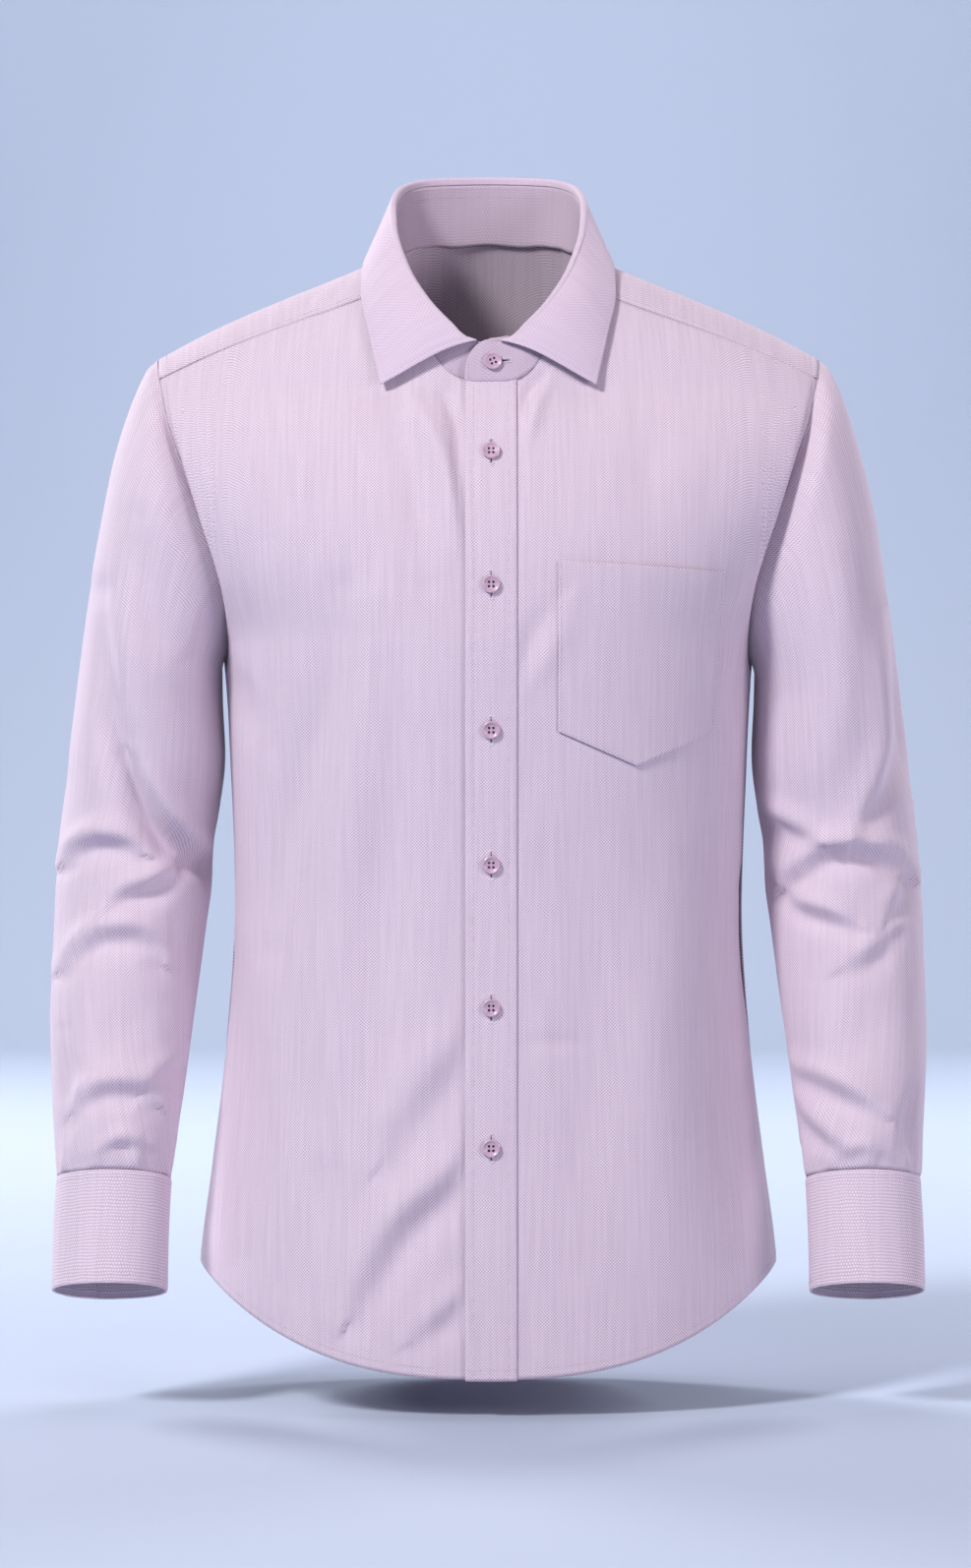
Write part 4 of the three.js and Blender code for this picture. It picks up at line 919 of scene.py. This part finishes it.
def sleeve_place(u, v, sign=1):
    turn = sleeve_turn(u)
    low = tube_point(turn, mix(SLEEVE_FOOT, TUBE_TOP, np.clip(v / HEAD_FROM, 0, 1)))
    high = head_point(turn, 1 - np.clip((v - HEAD_FROM) / (1 - HEAD_FROM), 0, 1), sign)
    return np.where((v < HEAD_FROM)[:, None], low, high)


def sleeve_lift(folds, seed):
    def lift(u, v, p):
        x, z = p[:, 0], p[:, 2]
        facing = np.sin(np.radians(sleeve_turn(u)))
        fade = ease(0.0, 0.03, v) * (1 - ease(0.94, 1, v)) * ease(0, 0.30, np.abs(facing))
        creases = np.where(facing > 0, fold_lift(folds, x, z), fold_lift(BEHIND_FOLDS, x, z))
        turn = np.radians(180 - 360 * u)
        # The sleeve is fuller than the cuff, so its end is eased in with small uneven gathers.
        gather = np.sin(9 * turn + seed) + 0.6 * np.sin(17 * turn + 2.1 * seed) + 0.4 * np.sin(5 * turn)
        near_cuff = bell(v, 0.035) * ease(0, 0.006, v)
        near_head = bell(1 - v, 0.07) * ease(0, 0.025, 1 - v) * ease(-0.6, 0.1, np.cos(turn))
        slack = 0.0006 * np.sin(3 * turn + 40 * z + seed) * np.sin(26 * z + seed)
        return (creases + slack) * fade + 0.0009 * gather * near_cuff + 0.0018 * near_head

    return lift


# Thread lines: round the sleeve from its outside, and up it, so that they meet only at the seam.
def sleeve_threads(u, v, p):
    z = np.where(v < HEAD_FROM, p[:, 2], TUBE_TOP)
    turn = 180 - 360 * u
    ring = [tube_point(turn * s, z) for s in np.linspace(0, 1, 33)]
    t = 1 - np.clip((v - HEAD_FROM) / (1 - HEAD_FROM), 0, 1)
    line = [head_point(np.mod(turn, 360), 1 - (1 - t) * s) for s in np.linspace(0, 1, 17)]
    level = np.where(v < HEAD_FROM, mix(SLEEVE_FOOT, TUBE_TOP, v / HEAD_FROM), TUBE_TOP + length_along(line))
    return length_along(ring) * np.sign(turn), level


def mirrored(place):
    def other(u, v):
        p = place(1 - u, v)
        p[:, 0] *= -1
        return p

    return other


def mirrored_lift(lift):
    def other(u, v, p):
        q = p.copy()
        q[:, 0] *= -1
        return lift(1 - u, v, q)

    return other


def mirrored_threads(weave):
    def other(u, v, p):
        along, up = weave(1 - u, v, p * np.array([-1, 1, 1]))
        return -along, up

    return other


left_lift, right_lift = sleeve_lift(LEFT_FOLDS, 0.4), sleeve_lift(RIGHT_FOLDS, 2.2)
head_rows = mix(HEAD_FROM, 1, 1 - (1 - even(84)) ** 1.35)[1:]
sleeve_rows = np.concatenate([HEAD_FROM * even(128), head_rows])
sleeves = [
    ("sleeve_left", sleeve_place, left_lift, sleeve_threads),
    ("sleeve_right", mirrored(lambda u, v: sleeve_place(u, v, -1)), mirrored_lift(right_lift),
     mirrored_threads(sleeve_threads)),
]
for name, place, lift, weave in sleeves:
    piece = cut_cloth(name, body_cloth, even(132), sleeve_rows, place, lift, weave)


# SLEEVE OPENINGS. Above each cuff, at the back, the sleeve is slit and bound by a folded band that
# laps over the slit and is sewn down all round, with a short row across its top.
OPENING_COLUMN = 3 / 26
OPENING_WIDE = 2 / 26
OPENING_LONG = 6 * 0.58 / 14
OPENING_FOOT = 0.08 * 0.58 / 14
OPENING_BAND_WIDE = 0.021
OPENING_BAND_LONG = 0.130


def opening_uv(u, v):
    return 0.5 + OPENING_COLUMN + u * OPENING_WIDE, mix(OPENING_FOOT, OPENING_LONG, v)


def opening_place(u, v):
    return sleeve_place(*opening_uv(u, v))


def opening_lift(lift):
    def over(u, v, p):
        edge = np.minimum(np.minimum(u, 1 - u) * OPENING_BAND_WIDE, np.minimum(v, 1 - v) * OPENING_BAND_LONG)
        return LAYER + 0.00005 + rounded_edge(edge) + lift(*opening_uv(u, v), p)

    return over


def opening_threads(u, v, p):
    return sleeve_threads(*opening_uv(u, v), p)


opening_columns = np.union1d(even(12), [0.02, 0.05, 0.95, 0.98])
opening_rows = np.union1d(even(56), [0.004, 0.01, 0.99, 0.996])
openings = [
    ("sleeve_placket_left", opening_place, opening_lift(left_lift), opening_threads),
    ("sleeve_placket_right", mirrored(opening_place), mirrored_lift(opening_lift(right_lift)),
     mirrored_threads(opening_threads)),
]
for name, place, lift, weave in openings:
    piece = cut_cloth(name, body_cloth, opening_columns, opening_rows, place, lift, weave)
    up, over = np.linspace(0.02, 0.98, 50), np.linspace(0.09, 0.91, 12)
    stitching(name + "_stitching",
              *sewn_lines(place, lift, (0.09, up), (0.91, up), (over, 0.98), (over, 0.80)))


# CUFFS. Two layers of shirting with a stiffener between them, 75 mm deep, wrapped round the wrist
# and buttoned at the outer back. The weave runs round them, and the edges are topstitched.
STIFFENED = 0.0014
CUFF_TOP = (0.2553, -0.0435, -0.626)
CUFF_FOOT = (0.2566, -0.064, -0.7005)
CUFF_WIDE = 0.0393
CUFF_DEEP = 0.0358
CUFF_TIP = 15.2
CUFF_LAP_FROM = 288
CUFF_LAP = 34
CUFF_LAP_RISE = 32
CUFF_STITCH = 0.0055
CUFF_LONG = 0.0773
CUFF_ROUND = 0.265


def cuff_turn(u):
    return CUFF_LAP_FROM + (360 + CUFF_LAP) * (1 - u)


def cuff_place(u, v):
    x, y, z = (mix(a, b, v) for a, b in zip(CUFF_FOOT, CUFF_TOP))
    return ring_point((x, y, z, CUFF_WIDE, CUFF_DEEP, CUFF_TIP), cuff_turn(u))


def cuff_lift(u, v, p):
    upper = CUFF_LAP_FROM + 360
    lapped = (STIFFENED + 2 * SEAM) * ease(upper - CUFF_LAP_RISE, upper - 4, cuff_turn(u))
    edge = np.minimum(v, 1 - v) * CUFF_LONG
    sewn = rounded_edge(edge, 0.0005, 0.0009) + sunk_stitches(edge - CUFF_STITCH)
    pucker = 0.00010 * np.sin(cuff_turn(u) * 0.42) * bell(edge - 0.0045, 0.003)
    soft = 0.0006 * np.sin(np.radians(cuff_turn(u)) * 3 + 1) * np.sin(math.pi * v)
    return lapped + sewn + pucker + soft


def cuff_threads(u, v, p):
    return (u - 0.5) * CUFF_ROUND, v * CUFF_LONG


cuff_cloth = shirting("shirting_cuff", across=0.0019, along=0.0044, rows=0.7)
cuff_rows = np.union1d(even(30), [0.006, 0.014, 0.055, 0.071, 0.087, 0.913, 0.929, 0.945, 0.986, 0.994])
cuff_columns = np.union1d(even(150), [0.0015, 0.9985])
cuffs = [
    ("cuff_left", cuff_place, cuff_lift, cuff_threads),
    ("cuff_right", mirrored(cuff_place), mirrored_lift(cuff_lift), mirrored_threads(cuff_threads)),
]
for name, place, lift, weave in cuffs:
    piece = cut_cloth(name, cuff_cloth, cuff_columns, cuff_rows, place, lift, weave, STIFFENED)
    inset = CUFF_STITCH / CUFF_LONG
    around, up = np.linspace(0.02, 0.98, 160), np.linspace(inset, 1 - inset, 30)
    stitching(name + "_stitching",
              *sewn_lines(place, lift, (around, inset), (around, 1 - inset), (0.02, up), (0.98, up)))


# COLLAR STAND. The stiffened band round the neck, sewn to the neckline below and to the leaf
# above. Its left end has a rounded corner and is buttoned over its right end.
# turn round the neck, and the fold's place
FOLD = [
    (-100, -0.0155, -0.0675, -0.0525), (-90, 0, -0.0685, -0.055), (-80, 0.0155, -0.0675, -0.0525),
    (-70, 0.0255, -0.0645, -0.0435), (-55, 0.0405, -0.056, -0.027), (-35, 0.056, -0.0385, -0.001),
    (-15, 0.065, -0.013, 0.029), (0, 0.066, 0.006, 0.046), (25, 0.061, 0.031, 0.060),
    (55, 0.040, 0.051, 0.068), (90, 0, 0.058, 0.070), (125, -0.040, 0.051, 0.068),
]
COLLAR_END = -85
COLLAR_ROLL = 0.0023
COLLAR_INSIDE = 0.0055
STAND_OVER = -99.5
STAND_UNDER = 279
STAND_CORNER = -87.5


def around_neck(angle, curves):
    """A point at an angle round the neck, from the middle of the front at -90 by the left side."""
    side = np.where(angle > 90, -1.0, 1.0)
    turn = np.where(angle > 90, 180 - angle, angle)
    past = turn < -90
    side, turn = np.where(past, -side, side), np.where(past, -180 - turn, turn)
    p = curves(turn)
    return p * np.stack([side, np.ones_like(side), np.ones_like(side)], axis=-1)


def neck_curve(table):
    columns = [through(table, i) for i in (1, 2, 3)]
    return lambda angle: around_neck(angle, lambda t: np.stack([c(t) for c in columns], axis=-1))


fold_at = neck_curve(FOLD)


def neck_at(angle):
    return around_neck(angle, lambda t: over_shoulder(*neckline(t)))


def outwards(curve, angle):
    along = curve(angle + 0.5) - curve(angle - 0.5)
    return unit(np.stack([along[..., 1], -along[..., 0], 0 * along[..., 0]], axis=-1))


def neck_turn(angle):
    return np.where(angle > 90, 180 - angle, angle)


def leaf_inside(angle):
    return mix(COLLAR_ROLL + 0.0004, COLLAR_INSIDE, ease(COLLAR_END, COLLAR_END + 8, neck_turn(angle)))


def stand_place(u, v):
    angle = mix(STAND_OVER, STAND_UNDER, u)
    over = 1 - ease(-80, -50, angle)
    under = mix(ease(249, 260, angle), ease(232, 256, angle), v)
    low = neck_at(angle) + outwards(neck_at, angle) * mix(-0.0012, 0.0016, over)[:, None]
    high = fold_at(angle) + outwards(fold_at, angle) * (STIFFENED - COLLAR_ROLL)
    high[:, 2] -= (leaf_inside(angle) + 0.0002) * ease(-91, -87.5, neck_turn(angle))
    t = np.clip((STAND_CORNER - angle) / (STAND_CORNER - STAND_OVER), 0, 1)
    share = np.sqrt(1 - (t * 0.96) ** 2)
    p = mix(low, high, (v * share - 0.03 * (1 - v) ** 6)[:, None])
    return p - outwards(fold_at, angle) * ((STIFFENED + 2 * SEAM) * under)[:, None]


def stand_lift(u, v, p):
    return rounded_edge(u, 0.0004, 0.0012) + 0.0003 * np.sin(math.pi * v)


def stand_threads(u, v, p):
    return (u - 0.5) * 0.405, v * 0.034


stand_split = (STAND_CORNER - STAND_OVER) / (STAND_UNDER - STAND_OVER)
stand_columns = np.concatenate([stand_split * even(14) ** 1.6, mix(stand_split, 1, even(170))[1:]])
collar_weave = {"across": 0.0017, "along": 0.0031, "rows": 0.5}
# The stand's cloth is a shade darker than the leaf's: painted shade, for the shadow that the leaves cast on
# the stand.
stand_cloth_painted_shade = shirting("shirting_stand_painted_shade", **collar_weave, light=(0.62, 0.515, 0.61), dark=(0.35, 0.255, 0.36))
stand = cut_cloth("collar_stand", stand_cloth_painted_shade, stand_columns, even(22), stand_place, stand_lift,
                  stand_threads, STIFFENED)


def within(points, normals):
    """The same line on the inner face of the stand."""
    return points - normals * STIFFENED, -normals


inner_run = np.linspace(0.1, 0.9, 200)
outer_lines = sewn_lines(stand_place, stand_lift, (np.linspace(0.003, 0.97, 160), 0.06),
                         (0.0045, np.linspace(0.06, 0.8, 12)))
inner_lines = sewn_lines(stand_place, stand_lift, (inner_run, 0.80), (inner_run, 0.07))
stitching("collar_stand_stitching", *outer_lines, *(within(*line) for line in inner_lines))


# COLLAR LEAF. Two layers of shirting with a stiffener, folded over the stand and turned down
# outside it to two points. The outer edge is topstitched 5 mm in.
# turn round the neck, and the outer edge's place
COLLAR_EDGE = [
    (-85, 0.0736, -0.072, -0.0867), (-65, 0.077, -0.064, -0.073), (-50, 0.0815, -0.0545, -0.052),
    (-25, 0.0875, -0.033, -0.020), (-12, 0.0873, -0.014, -0.0025), (0, 0.086, 0.007, 0.005),
    (30, 0.080, 0.039, 0.004), (60, 0.045, 0.063, 0.0095), (90, 0, 0.0725, 0.014),
    (120, -0.045, 0.063, 0.0095),
]
COLLAR_CROWN = 0.0025
COLLAR_CROWN_BACK = 0.0006
COLLAR_SWEEP = 0.003
LEAF_OUTSIDE = 0.72
LEAF_OVER = 0.92
LEAF_DROP = 0.058
LEAF_ROUND = 0.40
COLLAR_STITCH = 0.005
edge_at = neck_curve(COLLAR_EDGE)


def leaf_place(u, v):
    angle = mix(COLLAR_END, 180 - COLLAR_END, u)
    out = outwards(fold_at, angle)
    middle = fold_at(angle) - np.array([0, 0, COLLAR_ROLL])
    up = np.array([0, 0, 1.0])
    t = np.clip(v / LEAF_OUTSIDE, 0, 1)
    front = 1 - ease(-50, -15, neck_turn(angle))
    bow = mix(COLLAR_CROWN_BACK, COLLAR_CROWN, front) * np.sin(math.pi * t) ** 0.8
    sweep = COLLAR_SWEEP * front * np.sin(math.pi * t**1.6)
    outside = mix(edge_at(angle), middle + out * COLLAR_ROLL, t[:, None])
    outside = outside + out * bow[:, None] + up * sweep[:, None]
    roll = math.pi * np.clip((v - LEAF_OUTSIDE) / (LEAF_OVER - LEAF_OUTSIDE), 0, 1)
    over = middle + (out * np.cos(roll)[:, None] + up * np.sin(roll)[:, None]) * COLLAR_ROLL
    tucked = 0.0016 * (1 - ease(0, 0.03, np.minimum(u, 1 - u)))
    over = over - up * (tucked * np.sin(roll))[:, None]
    down = np.clip((v - LEAF_OVER) / (1 - LEAF_OVER), 0, 1) * (leaf_inside(angle) - COLLAR_ROLL)
    over = over - up * down[:, None]
    return np.where((v < LEAF_OUTSIDE)[:, None], outside, over)


def leaf_lift(u, v, p):
    near = np.minimum(v / LEAF_OUTSIDE * LEAF_DROP, np.minimum(u, 1 - u) * LEAF_ROUND)
    return rounded_edge(near, 0.0005, 0.0009) + sunk_stitches(near - COLLAR_STITCH)


def leaf_threads(u, v, p):
    return (u - 0.5) * LEAF_ROUND, v * 0.075


leaf_rows = np.concatenate([[0, 0.006, 0.014], mix(0.03, LEAF_OUTSIDE, even(34)),
                            mix(LEAF_OUTSIDE, 1, even(16))[1:]])
leaf_columns = np.union1d(even(240), [0.001, 0.003, 0.997, 0.999])
leaf_cloth = shirting("shirting_collar", **collar_weave, light=(0.74, 0.625, 0.73), dark=(0.42, 0.315, 0.43))
leaf = cut_cloth("collar_leaf", leaf_cloth, leaf_columns, leaf_rows, leaf_place, leaf_lift, leaf_threads,
                 STIFFENED)
leaf_in = COLLAR_STITCH / LEAF_DROP * LEAF_OUTSIDE
leaf_end, leaf_rise = 0.0125, np.linspace(leaf_in, 0.70, 40)
stitching("collar_leaf_stitching", *sewn_lines(
    leaf_place, leaf_lift, (np.linspace(leaf_end, 1 - leaf_end, 300), leaf_in), (leaf_end, leaf_rise),
    (1 - leaf_end, leaf_rise)))


# BUTTONS. Seven down the front and one on each cuff: turned resin with a raised rim and four
# holes, 12 mm across, sewn on with two bars of thread through the band below.
BUTTON_HOLE = 0.00092
BUTTON_HOLE_AT = 0.00145
HOLE_CORNERS = [(x * BUTTON_HOLE_AT, y * BUTTON_HOLE_AT) for x in (-1, 1) for y in (-1, 1)]
# radius, height
BUTTON_PROFILE = [(0, 0), (0.0052, 0), (0.0060, 0.0006), (0.0061, 0.0014), (0.0059, 0.0021),
                  (0.0054, 0.0024), (0.0048, 0.0023), (0.0042, 0.0017), (0.0036, 0.0014), (0, 0.0013)]

m = bmesh.new()
previous = None
for radius, height in BUTTON_PROFILE:
    vert = m.verts.new((radius, 0, height))
    if previous:
        m.edges.new((previous, vert))
    previous = vert
bmesh.ops.spin(m, geom=m.verts[:] + m.edges[:], cent=(0, 0, 0), axis=(0, 0, 1), angle=2 * math.pi,
               steps=36, use_merge=True)
bmesh.ops.remove_doubles(m, verts=m.verts, dist=1e-6)
bmesh.ops.recalc_face_normals(m, faces=m.faces)
blank_object = in_scene("button_blank", mesh_of("button_blank", m))
drill = bmesh.new()
for x, y in HOLE_CORNERS:
    bmesh.ops.create_cone(drill, cap_ends=True, segments=14, radius1=BUTTON_HOLE, radius2=BUTTON_HOLE,
                          depth=0.01, matrix=Matrix.Translation((x, y, 0)))
drill_object = in_scene("drill", mesh_of("drill", drill))
cut = blank_object.modifiers.new("holes", "BOOLEAN")
cut.operation, cut.object, cut.solver = "DIFFERENCE", drill_object, "EXACT"
drilled = bpy.data.meshes.new_from_object(blank_object.evaluated_get(bpy.context.evaluated_depsgraph_get()))
bpy.data.objects.remove(blank_object)
bpy.data.objects.remove(drill_object)

resin, resin_shader = mottled("button_resin", 0.32, 240, 3, (0.46, 0.30, 0.41), (0.60, 0.43, 0.55))
resin_shader.inputs["Coat Weight"].default_value = 0.25
button_ties_painted_hole_shade = []


def sew_button(name, at, out, way, tilt=0.0):
    side = way.cross(out).normalized()
    way = out.cross(side).normalized()
    turned = Matrix((side, way, out)).transposed().to_4x4()
    if tilt:
        turned = turned @ Matrix.Rotation(tilt, 4, "Z")
    turned.translation = at + out * SEAM
    m = bmesh.new()
    m.from_mesh(drilled)
    bmesh.ops.transform(m, matrix=turned, verts=m.verts)
    for face in m.faces:
        face.smooth = True
    piece = finish_piece(name + "_resin", m, resin)
    piece.data.set_sharp_from_angle(angle=math.radians(38))
    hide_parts(name)
    along = (turned.to_3x3() @ Vector((0, 1, 0))).normalized()
    # A plug of near-black thread in each hole: painted shade for the dark inside the holes.
    for x, y in HOLE_CORNERS:
        inside = turned @ Vector((x, y, 0.0005))
        one_stitch(button_ties_painted_hole_shade, inside, along, out, 2 * BUTTON_HOLE, BUTTON_HOLE)


stand_u = (-88.6 - STAND_OVER) / (STAND_UNDER - STAND_OVER)
collar_spot = spot(stand_place, stand_lift, stand_u, 0.48)
sew_button("button_1", *collar_spot, tilt=0.35)
for count, found in enumerate(button_spots):
    sew_button(f"button_{count + 2}", *found)
lap_u = 1 - (360 + CUFF_LAP * 0.55) / (360 + CUFF_LAP)
cuff_spots = [
    ("left", spot(cuff_place, cuff_lift, lap_u, 0.5), 1),
    ("right", spot(mirrored(cuff_place), mirrored_lift(cuff_lift), 1 - lap_u, 0.5), -1),
]
for side, cuff_spot, _ in cuff_spots:
    sew_button("cuff_button_" + side, *cuff_spot)

# The level buttonholes, at the end of the stand and in each cuff.
LEVEL_HOLE_LONG = 0.0165
at, out, way = spot(stand_place, stand_lift, stand_u + 0.006, 0.5)
worked_hole(at, out, way.cross(out).normalized(), LEVEL_HOLE_LONG)
for _, (at, out, way), sign in cuff_spots:
    level = way.cross(out).normalized() * sign
    worked_hole(at - level * 0.001, out, level, LEVEL_HOLE_LONG)
sewn_piece("buttonhole_stitching", hole_edges, thread_material("thread_pale", (0.84, 0.76, 0.85)))
# The thread in the button holes is near black: painted shade for the dark inside the holes.
sewn_piece("button_threads_painted_hole_shade", button_ties_painted_hole_shade, thread_material("thread_painted_hole_shade", (0.030, 0.014, 0.026)))
# The slits are near-black stitch shapes: painted shadow in the cut of each buttonhole.
sewn_piece("buttonhole_slit_shadows", hole_slit_shadows, thread_material("thread_shadow", (0.025, 0.012, 0.025)))


# STUDIO. A plain pale floor that curves up into a wall far behind, soft light from the upper left,
# and the camera in front of the shirt at the height of its middle.
FLOOR = -0.780
FLOOR_FRONT = -13.0
WALL_BEND = 4.2
WALL_ROUND = 1.2
WALL_HIGH = 6
FLOOR_HALF_WIDTH = 13
m = bmesh.new()
bmesh.ops.create_grid(m, x_segments=1, y_segments=80, size=1)
for vert in m.verts:
    t = (vert.co.y + 1) / 2
    bend = min(max((t - 0.2) / 0.6, 0), 1) * math.pi / 2
    y = mix(FLOOR_FRONT, WALL_BEND, min(t / 0.2, 1)) + WALL_ROUND * math.sin(bend)
    z = FLOOR + WALL_ROUND * (1 - math.cos(bend)) + WALL_HIGH * max(0, (t - 0.8) / 0.2)
    vert.co = (vert.co.x * FLOOR_HALF_WIDTH, y, z)
for face in m.faces:
    face.smooth = True
floor = in_scene("floor", mesh_of("floor", m))
paper, paper_shader, _, _ = new_material("pale_floor", 0.9)
paper_shader.inputs["Base Color"].default_value = (0.44, 0.505, 0.64, 1)
floor.data.materials.append(paper)

world = bpy.data.worlds.new("studio")
bpy.context.scene.world = world
world.use_nodes = True
world.node_tree.nodes["Background"].inputs["Color"].default_value = (1.0, 0.86, 1.0, 1)
world.node_tree.nodes["Background"].inputs["Strength"].default_value = 0.05


def soft_light(name, place, aim, size, power, colour):
    lamp = bpy.data.lights.new(name, "AREA")
    lamp.shape, lamp.size, lamp.energy, lamp.color = "DISK", size, power, colour
    holder = in_scene(name, lamp)
    holder.location = place
    holder.rotation_euler = (Vector(aim) - Vector(place)).to_track_quat("-Z", "Y").to_euler()


soft_light("key", (-3.2, -3.4, 3.3), (0, 0, -0.35), 1.3, 318, (1, 0.985, 0.99))
soft_light("right_fill", (3.6, -3.0, 0.5), (0, 0, -0.35), 1.8, 78, (1, 0.91, 1))
soft_light("front_fill", (0.1, -4.4, 2.4), (0, 0, -0.35), 1.8, 18, (1, 0.94, 1))
soft_light("top", (0.1, 0.2, 2.4), (0, 0, -0.35), 1.4, 8, (1, 0.88, 1))
soft_light("back_left", (-2.6, 2.6, 1.3), (0, 0.6, -0.6), 1.4, 110, (1, 1, 1))
soft_light("back_right", (2.6, 2.6, 1.3), (0, 0.6, -0.6), 1.4, 76, (0.98, 0.99, 1))
soft_light("wall_wash", (0, 2.4, 2.6), (0, 5.2, 0.0), 2.0, 62, (0.96, 0.98, 1))

camera_data = bpy.data.cameras.new("camera")
camera_data.lens = 106.27
camera_data.sensor_width = 36
camera = in_scene("camera", camera_data)
camera.location = (-0.002, -3.2, -0.357)
camera.rotation_euler = (math.pi / 2, 0, 0)
bpy.context.scene.camera = camera
bpy.context.scene.view_settings.view_transform = "Standard"
